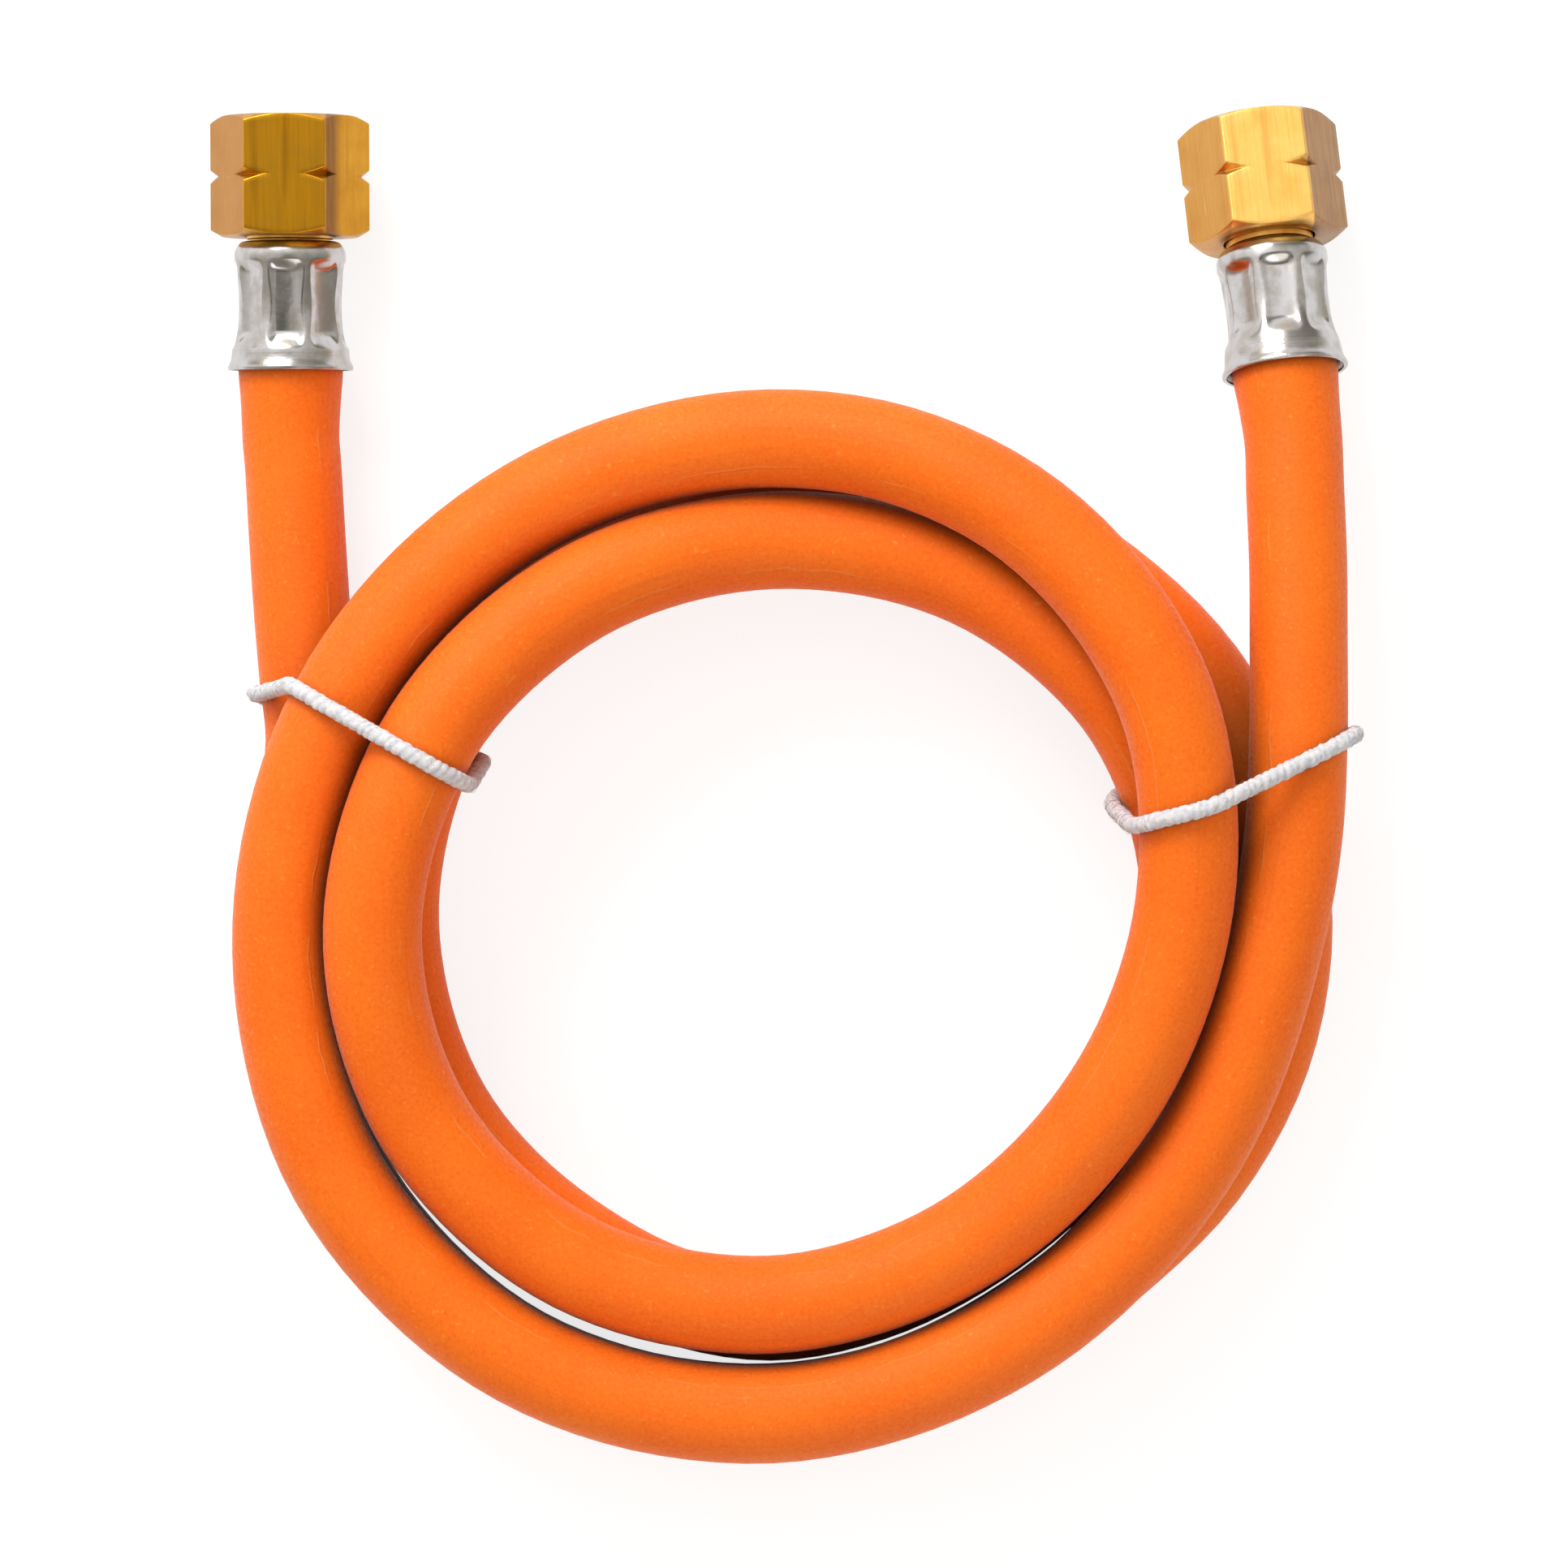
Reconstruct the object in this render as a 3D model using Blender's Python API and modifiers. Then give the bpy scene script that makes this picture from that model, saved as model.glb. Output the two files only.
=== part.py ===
"""Medium-pressure gas hose, coiled in three and a half turns and tied twice, with a union nut at each end.

Metres, +Z up. The coil lies on the plane Z = 0 with its hole round the Z axis, and both ends point along +Y.
Each end holds a crimped ferrule, a barbed nipple with a ball nose, and a union nut that turns on the nipple.
"""

import math

import bmesh
import bpy
from mathutils import Matrix, Vector

MM = 0.001

# Fits
GAP = 0.3 * MM

# Hose
HOSE_BORE = 6.3 * MM
HOSE_WALL = 3.5 * MM
HOSE_RADIUS = HOSE_BORE / 2 + HOSE_WALL
HOSE_SIDES = 12
BORE_SIDES = 8

# Coil, as seen from above. The hose leaves the right end, runs clockwise, and ends at the left one.
COIL_CENTRE = Vector((-1.8, -19.2, 0)) * MM
SPAN_ANGLE = 15
TAIL_SPANS = 2

# The hose's centreline: degrees clockwise from +X, radius in mm, height in mm
COIL_STATIONS = (
    # Turn 1, the upper outer one
    (0, 68.7, 22.6), (30, 65.1, 20.8), (60, 64.8, 20.5), (90, 66.4, 20.4), (120, 67.8, 20.4), (150, 67.9, 21.1),
    (180, 66.3, 22.2), (210, 65.6, 23.0), (240, 65.5, 21.7), (270, 66.0, 22.7), (285, 65.95, 25.0),
    (300, 65.1, 27.6), (330, 61.2, 30.4),
    # Turn 2, the upper inner one, which runs down under turn 1 at its end
    (360, 55.2, 27.5), (390, 51.3, 24.9), (420, 50.5, 21.0), (450, 51.5, 20.4), (480, 53.0, 20.4),
    (510, 54.0, 22.4), (540, 53.6, 27.5), (570, 52.5, 27.4), (600, 51.8, 24.6), (630, 52.3, 19.8),
    (660, 54.5, 18.7), (690, 57.0, 17.5),
    # Turn 3, on the floor inside
    (720, 57.3, 12.4), (750, 53.6, 7.3), (780, 52.2, 6.8), (795, 53.0, 6.7), (810, 53.8, 6.7), (825, 53.2, 6.7),
    (840, 52.1, 6.75), (870, 52.1, 7.3), (900, 52.4, 8.4), (930, 53.3, 9.25), (960, 55.2, 8.0), (990, 59.1, 7.7),
    (1020, 63.6, 8.5), (1035, 65.6, 8.9), (1050, 68.0, 9.2),
    # Turn 4, on the floor outside
    (1080, 70.7, 9.1), (1095, 70.2, 8.2), (1110, 68.4, 7.4), (1125, 66.0, 7.0), (1140, 65.8, 6.8),
    (1155, 66.7, 6.7), (1170, 67.5, 6.7), (1185, 68.2, 6.7), (1200, 68.9, 6.75), (1230, 68.6, 7.3),
    (1260, 67.2, 8.5),
)

# Points of the two free ends in mm, between the coil and the straight stretch behind each ferrule
RIGHT_TAIL = (
    (69.6, 40.0, 18.5), (69.85, 30.0, 20.0), (69.8, 19.0, 21.5), (69.65, 7.0, 22.7), (69.05, -6.0, 23.0),
)
LEFT_TAIL = (
    (-66.0, -3.5, 9.2), (-64.75, 6.0, 9.25), (-65.65, 15.0, 9.15), (-66.5, 25.0, 8.8), (-67.2, 35.0, 8.35),
    (-67.7, 44.0, 8.1),
)

# Nipple, turned from brass. Places along a fitting are measured from the ferrule's mouth towards the nut.
NIPPLE_BORE = 5.0 * MM
NECK_DIAMETER = 12.0 * MM
STOP_THICKNESS = 0.9 * MM
BARB_COUNT = 3
BARB_STRETCH = 0.35 * MM
BARB_DEPTH = 0.5 * MM
TAIL_PAST_FERRULE = 3.0 * MM
NECK_PAST_FERRULE = 6.1 * MM
COLLAR_THICKNESS = 1.2 * MM
NOSE_FLAT = 7.6 * MM
NOSE_BALL_EXTRA = 0.15 * MM
GROOVE_DEPTH = 0.45 * MM

# Ferrule, drawn from steel sheet and crimped on the hose, which bulges behind it
FERRULE_LENGTH = 17.7 * MM
FERRULE_WALL = 0.55 * MM
FLARE = 1.37 * MM
LIP_LENGTH = 0.5 * MM
SHOULDER_LENGTH = 1.3 * MM
CRIMP_SQUEEZE = 0.8 * MM
BULGE = 0.55 * MM
DIMPLE_COUNT = 8
DIMPLE_DEPTH = 0.55 * MM
DIMPLE_START = 5.9 * MM
DIMPLE_TO_NUT_END = 3.5 * MM
DIMPLE_RAMP = 1.2 * MM
DIMPLE_HALF_ANGLE = math.radians(16)
COLUMNS_PER_DIMPLE = 4

# Union nut, for a 3/8 inch left-hand pipe thread
NUT_ACROSS_FLATS = 19.0 * MM
NUT_LENGTH = 16.4 * MM
NUT_BACK_WALL = 3.0 * MM
THREAD_MINOR = 14.95 * MM
THREAD_RELIEF = 16.8 * MM
RELIEF_LENGTH = 2.2 * MM
FACE_DIAMETER = 18.8 * MM
CHAMFER_ANGLE = math.radians(30)
NOTCH_ROOT = 19.6 * MM
NOTCH_WIDTH = 1.85 * MM
TURNED_STEPS = 36
NIPPLE_STEPS = 24

# How far each nut has slid forward from its ferrule
LEFT_NUT_SLACK = 0.65 * MM
RIGHT_NUT_SLACK = 1.0 * MM

# Ties. Each hangs round the strands in an upright plane through its pivot, and is shifted sideways in places.
# Shifts are (distance from the pivot, way counter-clockwise) in mm, for its strand above and the one below.
TIE_DIAMETER = 2.2 * MM
TIE_POINTS = 24
TIE_SIDES = 8
TIE_CLEARANCE = 0.4 * MM
TIE_LOW = 12.0 * MM
TIE_HIGH = 24.0 * MM
LEFT_TIE_PIVOT = Vector((-1.8, -22.8, 0)) * MM
LEFT_TIE_ANGLE = math.radians(150.8)
LEFT_TIE_ABOVE = ((47, 0), (81, 0))
LEFT_TIE_BELOW = ((47, -3.2), (81, 3.8))
RIGHT_TIE_PIVOT = Vector((-1.8, -25.2, 0)) * MM
RIGHT_TIE_ANGLE = math.radians(22.0)
RIGHT_TIE_ABOVE = ((52, 0), (66, -1.8), (85, 0))
RIGHT_TIE_BELOW = ((52, 4.1), (85, 0))

# Places of the ferrules' mouths as seen from above, and the way the fittings lie
LEFT_MOUTH = Vector((-68.0, 57.0)) * MM
LEFT_LEAN = math.radians(0)
RIGHT_MOUTH = Vector((68.5, 56.2)) * MM
RIGHT_LEAN = math.radians(5.9)
RIGHT_DROP = math.radians(10)
FLOOR_CLEARANCE = 0.03 * MM

# Sizes that follow from the ones above
CRIMPED_RADIUS = HOSE_RADIUS - CRIMP_SQUEEZE
DIMPLE_FLOOR = CRIMPED_RADIUS + GAP + FERRULE_WALL
DIMPLE_END = FERRULE_LENGTH - DIMPLE_TO_NUT_END
WAIST_RADIUS = DIMPLE_FLOOR + DIMPLE_DEPTH
MOUTH_RADIUS = WAIST_RADIUS + FLARE
COLLAR_PLACE = FERRULE_LENGTH + NECK_PAST_FERRULE
LEFT_NUT_PLACE = FERRULE_LENGTH + LEFT_NUT_SLACK
RIGHT_NUT_PLACE = FERRULE_LENGTH + RIGHT_NUT_SLACK
NECK_RADIUS = NECK_DIAMETER / 2
BARB_CREST = HOSE_BORE / 2 + BARB_STRETCH
STOP_PLACE = FERRULE_LENGTH - FERRULE_WALL - GAP - STOP_THICKNESS
HOSE_END_PLACE = STOP_PLACE - GAP
COLLAR_RADIUS = THREAD_MINOR / 2 - GAP


def collection_named(name):
    """A new collection of that name in the scene."""
    collection = bpy.data.collections.new(name)
    bpy.context.scene.collection.children.link(collection)
    return collection


def material_named(name, colour, roughness, metallic):
    """A plain Principled material."""
    material = bpy.data.materials.new(name)
    material.use_nodes = True
    shader = material.node_tree.nodes["Principled BSDF"]
    shader.inputs["Base Color"].default_value = (*colour, 1)
    shader.inputs["Roughness"].default_value = roughness
    shader.inputs["Metallic"].default_value = metallic
    return material


def place(obj, parent, collection, material=None, location=(0, 0, 0)):
    """Puts an object in its collection, under its parent, with its material."""
    collection.objects.link(obj)
    obj.parent = parent
    obj.location = location
    if material:
        obj.data.materials.clear()
        obj.data.materials.append(material)
        obj.data.shade_smooth()
        obj.data.set_sharp_from_angle(angle=math.radians(35))


def hide_cutter(cutter, parent, collection):
    """Places a cutting body so that only Booleans see it."""
    place(cutter, parent, collection)
    cutter.hide_render = True
    cutter.display_type = "WIRE"


def turned(name, profile, steps, closed):
    """A body or an open surface of revolution about Z, from (radius, height) points."""
    mesh = bpy.data.meshes.new(name)
    count = len(profile)
    edges = [(i, (i + 1) % count) for i in range(count if closed else count - 1)]
    mesh.from_pydata([(radius, 0, height) for radius, height in profile], edges, [])
    obj = bpy.data.objects.new(name, mesh)
    screw = obj.modifiers.new("Turn", "SCREW")
    screw.steps = screw.render_steps = steps
    screw.use_merge_vertices = True
    screw.merge_threshold = 1e-6
    screw.use_smooth_shade = True
    return obj


def made_mesh(obj, name):
    """A mesh object of what a curve or a modified object evaluates to, with its loose caps welded."""
    bpy.context.scene.collection.objects.link(obj)
    graph = bpy.context.evaluated_depsgraph_get()
    mesh = bpy.data.meshes.new_from_object(obj.evaluated_get(graph))
    welded = bmesh.new()
    welded.from_mesh(mesh)
    bmesh.ops.remove_doubles(welded, verts=welded.verts, dist=1e-6)
    bmesh.ops.recalc_face_normals(welded, faces=welded.faces)
    welded.to_mesh(mesh)
    welded.free()
    bpy.data.objects.remove(obj)
    mesh.name = name
    return bpy.data.objects.new(name, mesh)


def tube(name, points, radii, sides, cyclic=False):
    """A bevelled curve through the points, with its own radius at each."""
    curve = bpy.data.curves.new(name, "CURVE")
    curve.dimensions = "3D"
    curve.bevel_depth = max(radii)
    curve.bevel_resolution = (sides - 4) // 2
    curve.use_fill_caps = not cyclic
    curve.twist_mode = "MINIMUM" if cyclic else "Z_UP"
    spline = curve.splines.new("POLY")
    spline.points.add(len(points) - 1)
    spline.use_cyclic_u = cyclic
    for knot, point, radius in zip(spline.points, points, radii):
        knot.co = (*point, 1)
        knot.radius = radius / curve.bevel_depth
    return bpy.data.objects.new(name, curve)


def smooth_points(knots, spans):
    """Points on a smooth curve through the knots: cubic spans, with the slopes of parabolas through three knots."""
    lengths = [(b.xyz - a.xyz).length for a, b in zip(knots, knots[1:])]
    steps = [(b - a) / length for a, b, length in zip(knots, knots[1:], lengths)]
    slopes = []
    for i in range(len(knots)):
        before, after = max(i - 1, 0), min(i, len(steps) - 1)
        share = lengths[before] / (lengths[before] + lengths[after])
        slopes.append(steps[before] * (1 - share) + steps[after] * share)
    points = []
    for i, (length, pieces) in enumerate(zip(lengths, spans)):
        for step in range(pieces):
            t = step / pieces
            points.append(
                knots[i] * (2 * t**3 - 3 * t**2 + 1)
                + knots[i + 1] * (3 * t**2 - 2 * t**3)
                + slopes[i] * length * (t**3 - 2 * t**2 + t)
                + slopes[i + 1] * length * (t**3 - t**2)
            )
    return points + [knots[-1]]


def coil_point(angle, radius, height):
    """A point by its angle and radius about the coil's centre."""
    return COIL_CENTRE + Vector((radius * math.cos(angle), radius * math.sin(angle), height))


def fitting_frame(mouth, lean, rise, height):
    """The frame of a fitting: its origin in the ferrule's mouth, +Z along the fitting, +Y as near up as can be."""
    forward = Vector((-math.sin(lean) * math.cos(rise), math.cos(lean) * math.cos(rise), math.sin(rise)))
    up = (Vector((0, 0, 1)) - forward * forward.z).normalized()
    axes = Matrix((up.cross(forward), up, forward)).transposed()
    return Matrix.Translation((*mouth, height)) @ axes.to_4x4()


def left_frame():
    """The left fitting lies on its ferrule's lip and on the back edge of its nut."""
    rise = math.asin((NUT_ACROSS_FLATS / 2 - MOUTH_RADIUS) / LEFT_NUT_PLACE)
    return fitting_frame(LEFT_MOUTH, LEFT_LEAN, rise, MOUTH_RADIUS + FLOOR_CLEARANCE)


def right_frame():
    """The right fitting points down, and only the lower edge of its nut's face is on the floor."""
    below_axis = NUT_ACROSS_FLATS / 2 * math.cos(RIGHT_DROP)
    height = below_axis + (RIGHT_NUT_PLACE + NUT_LENGTH) * math.sin(RIGHT_DROP) + FLOOR_CLEARANCE
    return fitting_frame(RIGHT_MOUTH, RIGHT_LEAN, -RIGHT_DROP, height)


def hose_end(frame):
    """Knots of the straight end of the hose: x, y, z, outer radius and bore radius, from the cut outwards."""
    bore = HOSE_BORE / 2
    stretched = BARB_CREST + GAP
    tail = TAIL_PAST_FERRULE
    sections = (
        (HOSE_END_PLACE, CRIMPED_RADIUS, stretched),
        (DIMPLE_START, CRIMPED_RADIUS, stretched),
        (DIMPLE_START - DIMPLE_RAMP, HOSE_RADIUS + 0.1 * BULGE, stretched),
        (DIMPLE_START / 2, HOSE_RADIUS + 0.65 * BULGE, stretched),
        (0.0, HOSE_RADIUS + BULGE, stretched),
        (-tail - GAP, HOSE_RADIUS + 0.55 * BULGE, stretched),
        (-tail * 1.85, HOSE_RADIUS + 0.3 * BULGE, bore),
        (-tail * 3, HOSE_RADIUS + 0.05 * BULGE, bore),
    )
    return [Vector((*(frame @ Vector((0, 0, place_)))[:], outer, inner)) for place_, outer, inner in sections]


def hose_sections():
    """Sections of the whole hose from its right end to its left one: x, y, z, outer radius and bore radius."""
    plain = (HOSE_RADIUS, HOSE_BORE / 2)
    right, left = hose_end(right_frame()), hose_end(left_frame())
    free = [Vector(point) * MM for point in RIGHT_TAIL]
    for angle, radius, height in COIL_STATIONS:
        free.append(coil_point(-math.radians(angle), radius * MM, height * MM))
    free += [Vector(point) * MM for point in LEFT_TAIL]
    knots = right + [Vector((*point, *plain)) for point in free] + left[::-1]
    spans = [1] * (len(right) - 1) + [TAIL_SPANS] * (len(RIGHT_TAIL) + 1)
    spans += [(after[0] - before[0]) // SPAN_ANGLE for before, after in zip(COIL_STATIONS, COIL_STATIONS[1:])]
    spans += [TAIL_SPANS] * (len(LEFT_TAIL) + 1) + [1] * (len(left) - 1)
    return smooth_points(knots, spans)


def make_hose(root, parts, cutters, material):
    """The rubber hose: one tube along the whole route, squeezed in both ferrules, with its bore cut through."""
    sections = hose_sections()
    centres = [section.xyz for section in sections]
    hose = made_mesh(tube("hose", centres, [section[3] for section in sections], HOSE_SIDES), "hose")
    reach = 1 * MM
    start = centres[0] + (centres[0] - centres[1]).normalized() * reach
    end = centres[-1] + (centres[-1] - centres[-2]).normalized() * reach
    flats = math.cos(math.pi / BORE_SIDES)
    bores = [section[4] / flats for section in sections]
    bore_tube = tube("bore", [start, *centres, end], [bores[0], *bores, bores[-1]], BORE_SIDES)
    bore = made_mesh(bore_tube, "bore")
    hide_cutter(bore, root, cutters)
    place(hose, root, parts, material)
    cut = hose.modifiers.new("Bore", "BOOLEAN")
    cut.operation = "DIFFERENCE"
    cut.object = bore
    return hose


def ferrule_profile():
    """Outer side of the ferrule, from its lip to the edge round the nipple, as (radius, height) points."""
    waist = WAIST_RADIUS
    length = FERRULE_LENGTH
    edge = NECK_RADIUS - GROOVE_DEPTH + GAP
    flare_end = DIMPLE_START - DIMPLE_RAMP
    flare_length = flare_end - LIP_LENGTH
    pressed = DIMPLE_END - DIMPLE_START
    return (
        (MOUTH_RADIUS, 0),
        (MOUTH_RADIUS, LIP_LENGTH),
        (waist + 0.71 * FLARE, LIP_LENGTH + 0.2 * flare_length),
        (waist + 0.57 * FLARE, LIP_LENGTH + 0.55 * flare_length),
        (waist + 0.31 * FLARE, flare_end),
        (waist + 0.15 * FLARE, DIMPLE_START),
        (waist, DIMPLE_START + 0.27 * pressed),
        (waist + 0.02 * FLARE, DIMPLE_START + 0.53 * pressed),
        (waist + 0.15 * FLARE, DIMPLE_START + 0.77 * pressed),
        (waist + 0.24 * FLARE, DIMPLE_END),
        (waist + 0.29 * FLARE, DIMPLE_END + DIMPLE_RAMP),
        (waist + 0.22 * FLARE, length - SHOULDER_LENGTH),
        (waist - 0.04 * SHOULDER_LENGTH, length - 0.46 * SHOULDER_LENGTH),
        (waist - 0.38 * SHOULDER_LENGTH, length - 0.12 * SHOULDER_LENGTH),
        (waist - 0.73 * SHOULDER_LENGTH, length),
        (edge, length),
    )


def press_dimples(mesh):
    """Moves the ferrule's wall in to flat floors, side by side round the waist, with a crest between them."""
    pitch = 2 * math.pi / DIMPLE_COUNT
    column = pitch / COLUMNS_PER_DIMPLE
    slack = 1e-6
    for vertex in mesh.vertices:
        radius = math.hypot(vertex.co.x, vertex.co.y)
        angle = math.atan2(vertex.co.y, vertex.co.x)
        offset = (angle + pitch / 2) % pitch - pitch / 2
        beside = round(offset / column)
        if abs(beside) > 1:
            continue
        slid = beside * DIMPLE_HALF_ANGLE
        if DIMPLE_START - slack <= vertex.co.z <= DIMPLE_END + slack:
            radius = DIMPLE_FLOOR / math.cos(slid)
        vertex.co.x = radius * math.cos(angle + slid - offset)
        vertex.co.y = radius * math.sin(angle + slid - offset)


def make_ferrule(side, fitting, parts, material):
    """The crimped ferrule: a turned sheet with its dimples pressed in, then given its wall."""
    name = f"{side}_ferrule"
    sheet = turned(name, ferrule_profile(), DIMPLE_COUNT * COLUMNS_PER_DIMPLE, closed=False)
    ferrule = made_mesh(sheet, name)
    press_dimples(ferrule.data)
    place(ferrule, fitting, parts, material)
    wall = ferrule.modifiers.new("Wall", "SOLIDIFY")
    wall.thickness = FERRULE_WALL
    wall.offset = -1
    return ferrule


def nipple_profile():
    """Section of the nipple on one side of its axis: the barbed tail, the grooved neck and the ball nose."""
    bore = NIPPLE_BORE / 2
    root = BARB_CREST - BARB_DEPTH
    tail = -TAIL_PAST_FERRULE
    pitch = (STOP_PLACE - tail) / (BARB_COUNT + 0.5)
    groove_front = FERRULE_LENGTH + GAP
    groove_back = groove_front - FERRULE_WALL - 2 * GAP
    ball = COLLAR_RADIUS + NOSE_BALL_EXTRA
    collar_front = COLLAR_PLACE + COLLAR_THICKNESS
    start = math.acos(COLLAR_RADIUS / ball)
    end = math.acos(NOSE_FLAT / 2 / ball)
    ball_centre = collar_front - ball * math.sin(start)
    arc_steps = 6
    nose = []
    for i in range(arc_steps + 1):
        angle = end + (start - end) * i / arc_steps
        nose.append((ball * math.cos(angle), ball_centre + ball * math.sin(angle)))
    barbs = []
    for i in reversed(range(BARB_COUNT)):
        back = tail + i * pitch
        barbs += [(root, back + pitch), (BARB_CREST, back + 0.85 * pitch), (BARB_CREST, back + 0.65 * pitch)]
    nose_tip = nose[0][1]
    return [
        (bore, nose_tip),
        *nose,
        (COLLAR_RADIUS, COLLAR_PLACE),
        (NECK_RADIUS, COLLAR_PLACE),
        (NECK_RADIUS, groove_front),
        (NECK_RADIUS - GROOVE_DEPTH, groove_front),
        (NECK_RADIUS - GROOVE_DEPTH, groove_back),
        (NECK_RADIUS, groove_back),
        (NECK_RADIUS, STOP_PLACE),
        (root, STOP_PLACE),
        *barbs,
        (root, tail),
        (bore, tail),
    ]


def make_nipple(side, fitting, parts, material):
    """The nipple, turned in one piece with its bore."""
    nipple = turned(f"{side}_nipple", nipple_profile(), NIPPLE_STEPS, closed=True)
    place(nipple, fitting, parts, material)
    return nipple


def nut_profile():
    """Section of what the lathe leaves of the hexagonal bar, from the nut's back at 0 to its mouth."""
    outside = NUT_ACROSS_FLATS / math.sqrt(3) + 0.5 * MM
    face = FACE_DIAMETER / 2
    chamfer = (outside - face) * math.tan(CHAMFER_ANGLE)
    corner = NUT_ACROSS_FLATS / math.sqrt(3)
    middle = NUT_LENGTH / 2
    notch = NOTCH_WIDTH / 2 * (outside - NOTCH_ROOT / 2) / (corner - NOTCH_ROOT / 2)
    back_hole = NECK_RADIUS + GAP
    minor = THREAD_MINOR / 2
    lead_in = FACE_DIAMETER / 2 - 1.0 * MM
    relief = THREAD_RELIEF / 2
    relief_end = NUT_BACK_WALL + RELIEF_LENGTH
    return (
        (lead_in, NUT_LENGTH),
        (face, NUT_LENGTH),
        (outside, NUT_LENGTH - chamfer),
        (outside, middle + notch),
        (NOTCH_ROOT / 2, middle),
        (outside, middle - notch),
        (outside, chamfer),
        (face, 0),
        (back_hole, 0),
        (back_hole, NUT_BACK_WALL),
        (relief, NUT_BACK_WALL),
        (relief, relief_end),
        (minor, relief_end + relief - minor),
        (minor, NUT_LENGTH - (lead_in - minor)),
    )


def make_nut(side, nut_place, fitting, parts, cutters, material):
    """The union nut: hexagonal bar, kept only where the turned section is."""
    name = f"{side}_union_nut"
    mesh = bpy.data.meshes.new(name)
    bar = bmesh.new()
    corner = NUT_ACROSS_FLATS / math.sqrt(3)
    turn = Matrix.Rotation(math.radians(30), 4, "Z")
    middle = Matrix.Translation((0, 0, NUT_LENGTH / 2))
    bmesh.ops.create_cone(
        bar,
        cap_ends=True,
        segments=6,
        radius1=corner,
        radius2=corner,
        depth=NUT_LENGTH + 2 * MM,
        matrix=middle @ turn,
    )
    bar.to_mesh(mesh)
    bar.free()
    nut = bpy.data.objects.new(name, mesh)
    lathe = turned(f"{side}_nut_section", nut_profile(), TURNED_STEPS, closed=True)
    hide_cutter(lathe, nut, cutters)
    place(nut, fitting, parts, material, location=(0, 0, nut_place))
    cut = nut.modifiers.new("Lathe", "BOOLEAN")
    cut.operation = "INTERSECT"
    cut.object = lathe
    return nut


def crossings(centres, pivot, angle):
    """Where the hose passes the upright half-plane at that angle: distance, height, and half its slanted width."""
    outward = Vector((math.cos(angle), math.sin(angle), 0))
    across = Vector((-outward.y, outward.x, 0))
    found = []
    for a, b in zip(centres, centres[1:]):
        from_a, from_b = (a - pivot).dot(across), (b - pivot).dot(across)
        if from_a * from_b > 0 or from_a == from_b:
            continue
        point = a.lerp(b, from_a / (from_a - from_b)) - pivot
        if point.dot(outward) > 0:
            straightness = abs((b - a).normalized().dot(across))
            found.append((point.dot(outward), point.z, HOSE_RADIUS / straightness))
    return found


def furthest(crossed, way):
    """Which of those crossings a taut loop touches where it faces that way."""
    side, up = math.cos(way), math.sin(way)
    reaches = [
        distance * side + height * up + math.hypot(half * side, HOSE_RADIUS * up) for distance, height, half in crossed
    ]
    return reaches.index(max(reaches))


def loop_point(crossing, way):
    """Distance and height of the loop at that crossing, where it faces that way."""
    distance, height, half = crossing
    side, up = math.cos(way), math.sin(way)
    support = math.hypot(half * side, HOSE_RADIUS * up)
    reach = TIE_CLEARANCE + TIE_DIAMETER / 2
    out = distance + half * half * side / support + reach * side
    rise = height + HOSE_RADIUS * HOSE_RADIUS * up / support + reach * up
    return out, rise


def shift_at(shifts, distance):
    """Sideways shift at a distance from the pivot, between the listed ones."""
    before = after = shifts[0]
    for after in shifts:
        if after[0] * MM >= distance:
            break
        before = after
    if after[0] == before[0]:
        return after[1] * MM
    share = min((distance - before[0] * MM) / ((after[0] - before[0]) * MM), 1)
    return (before[1] + (after[1] - before[1]) * share) * MM


def tie_points(centres, pivot, angle, above, below):
    """A taut loop round every turn."""
    outward = Vector((math.cos(angle), math.sin(angle), 0))
    across = Vector((-outward.y, outward.x, 0))
    crossed = crossings(centres, pivot, angle)
    points = []
    for i in range(TIE_POINTS):
        way = 2 * math.pi * (i + 0.5) / TIE_POINTS
        strand = furthest(crossed, way)
        out, rise = loop_point(crossed[strand], way)
        high = min(max((rise - TIE_LOW) / (TIE_HIGH - TIE_LOW), 0), 1)
        shift = shift_at(above, out) * high + shift_at(below, out) * (1 - high)
        moved = pivot + across * shift
        out, rise = loop_point(crossings(centres, moved, angle)[strand], way)
        points.append(moved + outward * out + Vector((0, 0, rise)))
    return points


def make_tie(name, pivot, angle, above, below, root, parts, material):
    """A covered elastic cord, closed to a ring round the bundle."""
    centres = [section.xyz for section in hose_sections()]
    points = tie_points(centres, pivot, angle, above, below)
    tie = tube(name, points, [TIE_DIAMETER / 2] * len(points), TIE_SIDES, cyclic=True)
    place(made_mesh(tie, name), root, parts, material)


def empty(name, parent, matrix, collection):
    """An empty that carries other objects."""
    obj = bpy.data.objects.new(name, None)
    collection.objects.link(obj)
    obj.parent = parent
    obj.matrix_local = matrix
    return obj


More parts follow.
